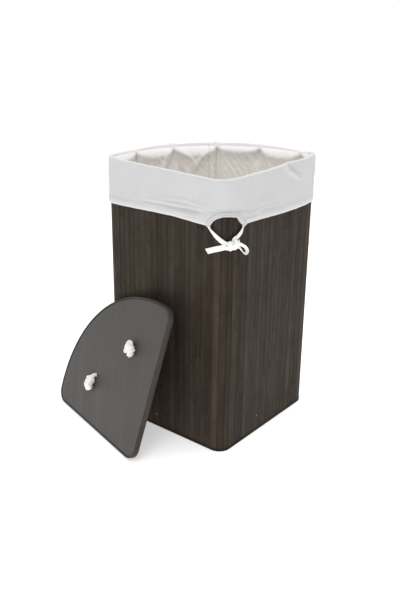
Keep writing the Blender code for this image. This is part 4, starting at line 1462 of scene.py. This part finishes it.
def bore(made, seeds, grain=0.0):
    """Cuts the rope's two holes; seeds(along) tells the boards apart, and grain turns their figure."""
    for hole in HOLES:
        turns = FULL_TURN * np.arange(24) / 24
        rings = []
        for height in (-0.01, 0.03):
            centre = hole_point(hole, height)
            ring = [(centre.x + ROPE_HOLE_R * math.cos(t), centre.y + ROPE_HOLE_R * math.sin(t), height)
                    for t in turns]
            rings.append(on_lid(ring))
        shape = Shape()
        shape.tube(rings)
        mesh = bpy.data.meshes.new("cutter")
        mesh.from_pydata(np.concatenate(shape.points).tolist(), [], shape.faces)
        cutter = placed("cutter", mesh)
        cut = made.modifiers.new("hole", "BOOLEAN")
        cut.solver = "EXACT"
        cut.object = cutter
        bpy.context.view_layer.update()
        graph = bpy.context.evaluated_depsgraph_get()
        mesh = bpy.data.meshes.new_from_object(made.evaluated_get(graph))
        made.modifiers.clear()
        made.data = mesh
        bpy.data.objects.remove(cutter, do_unlink=True)
    places = np.array([list(v.co) for v in made.data.vertices])
    plan = (places - LID_ARRAY[:3, 3]) @ LID_ARRAY[:3, :3]
    along, rising = from_plan(plan[:, 0], plan[:, 1])
    made.data.attributes.remove(made.data.attributes["lie"])
    across = along * math.cos(grain) - rising * math.sin(grain)
    lengthwise = along * math.sin(grain) + rising * math.cos(grain)
    mark(made.data, "lie", np.stack([across, lengthwise, seeds(along)], axis=1))


def lid():
    """The lid's board, the slats on its top and the bent band round its edge."""
    outline = lid_outline(-BAND_T - BAND_GAP)
    shape = Shape()
    slab(shape, outline, *PANEL_Z, 0.0004, 2.0, fade=0.0018)
    board = shape.make("lid_board_stained", "board", "lid", "lid_grey_board", ("lid_board",), sharp=30)
    bore(board, np.zeros_like, BOARD_GRAIN)
    draws = np.random.default_rng(8)
    shape = Shape()
    at, index = outline[:, 0].min(), 0
    starts = []
    while at < outline[:, 0].max() - 0.001:
        width = SLAT_WIDTH * draws.uniform(0.85, 1.12)
        tone = np.clip(draws.normal(0.5, 0.26), 0, 1)
        part = clip(clip(outline, 0, at + 0.0002, True), 0, at + width - 0.0002, False)
        starts.append(at)
        at += width
        index += 1
        if len(part) >= 3:
            slab(shape, part, *SLAT_Z, 0.0003, 5.1 * index, tone)
    slats = shape.make("lid_top_slats", "lid_slats", "lid", "bamboo_dark", ("lid_slats",), sharp=30)
    bore(slats, lambda along: 5.1 * np.searchsorted(starts, along + 0.0001))
    joint = LID.length - LID.rear_end - BAND_JOINT
    profile = rounded((-BAND_T, 0.0), (0.0, LID_T), 0.0007)
    sweep("lid_band_strip", LID, joint + 0.0004, joint + LID.length - 0.0004, profile, 0.0030, "band", "lid",
          "lid_band_bamboo", ("lid_band",), on_lid)


lid()


# ---- floor, light and picture --------------------------------------------------------------
FLOOR_GLOW = (0.86, 0.42)        # as light for the object, and as the camera sees it
SURROUND = 0.66
KEY_POWER = 16.0
OVERHEAD_POWER = 48.0


def studio():
    """A pale floor, an even white surround and one soft lamp up on the left."""
    mesh = bpy.data.meshes.new("studio_floor")
    reach = 40.0
    mesh.from_pydata([(-reach, -reach, 0), (reach, -reach, 0), (reach, reach, 0), (-reach, reach, 0)], [],
                     [(0, 1, 2, 3)])
    floor = placed("studio_floor", mesh)
    floor.location.z = -0.0004
    look = Look("studio_white", 0.8)
    tint = look.noise(look.place(), (2, 2, 2), detail=2.0)
    pale = look.ramp(tint, (0.3, (0.90, 0.90, 0.90)), (0.7, (0.92, 0.92, 0.92)))
    look.tree.links.new(pale, look.shader.inputs["Base Color"])
    look.shader.inputs["Emission Color"].default_value = (1.0, 1.0, 1.0, 1.0)
    seen = look.node("LightPath").outputs["Is Camera Ray"]
    look.tree.links.new(look.range(seen, 0.0, 1.0, *FLOOR_GLOW), look.shader.inputs["Emission Strength"])
    mesh.materials.append(look.made)
    world = bpy.data.worlds.new("surround")
    world.use_nodes = True
    background = world.node_tree.nodes["Background"]
    background.inputs[0].default_value = (1.0, 1.0, 1.0, 1.0)
    seen = world.node_tree.nodes.new("ShaderNodeLightPath")
    level = world.node_tree.nodes.new("ShaderNodeMapRange")
    level.inputs[3].default_value = SURROUND
    level.inputs[4].default_value = 1.0
    world.node_tree.links.new(seen.outputs["Is Camera Ray"], level.inputs[0])
    world.node_tree.links.new(level.outputs[0], background.inputs[1])
    bpy.context.scene.world = world
    lamps = (
        ("key", (-1.15, -2.1, 2.4), 1.6, KEY_POWER),
        ("overhead", (0.1, 0.2, 2.9), 2.4, OVERHEAD_POWER),
    )
    for name, place, size, power in lamps:
        data = bpy.data.lights.new(name, "AREA")
        data.shape = "DISK"
        data.size = size
        data.energy = power
        lamp = placed(name, data)
        lamp.location = place
        aim = Vector((0, 0, 0.35)) - Vector(place)
        lamp.rotation_euler = aim.to_track_quat("-Z", "Y").to_euler()
    bpy.context.scene.view_settings.view_transform = "Standard"


studio()
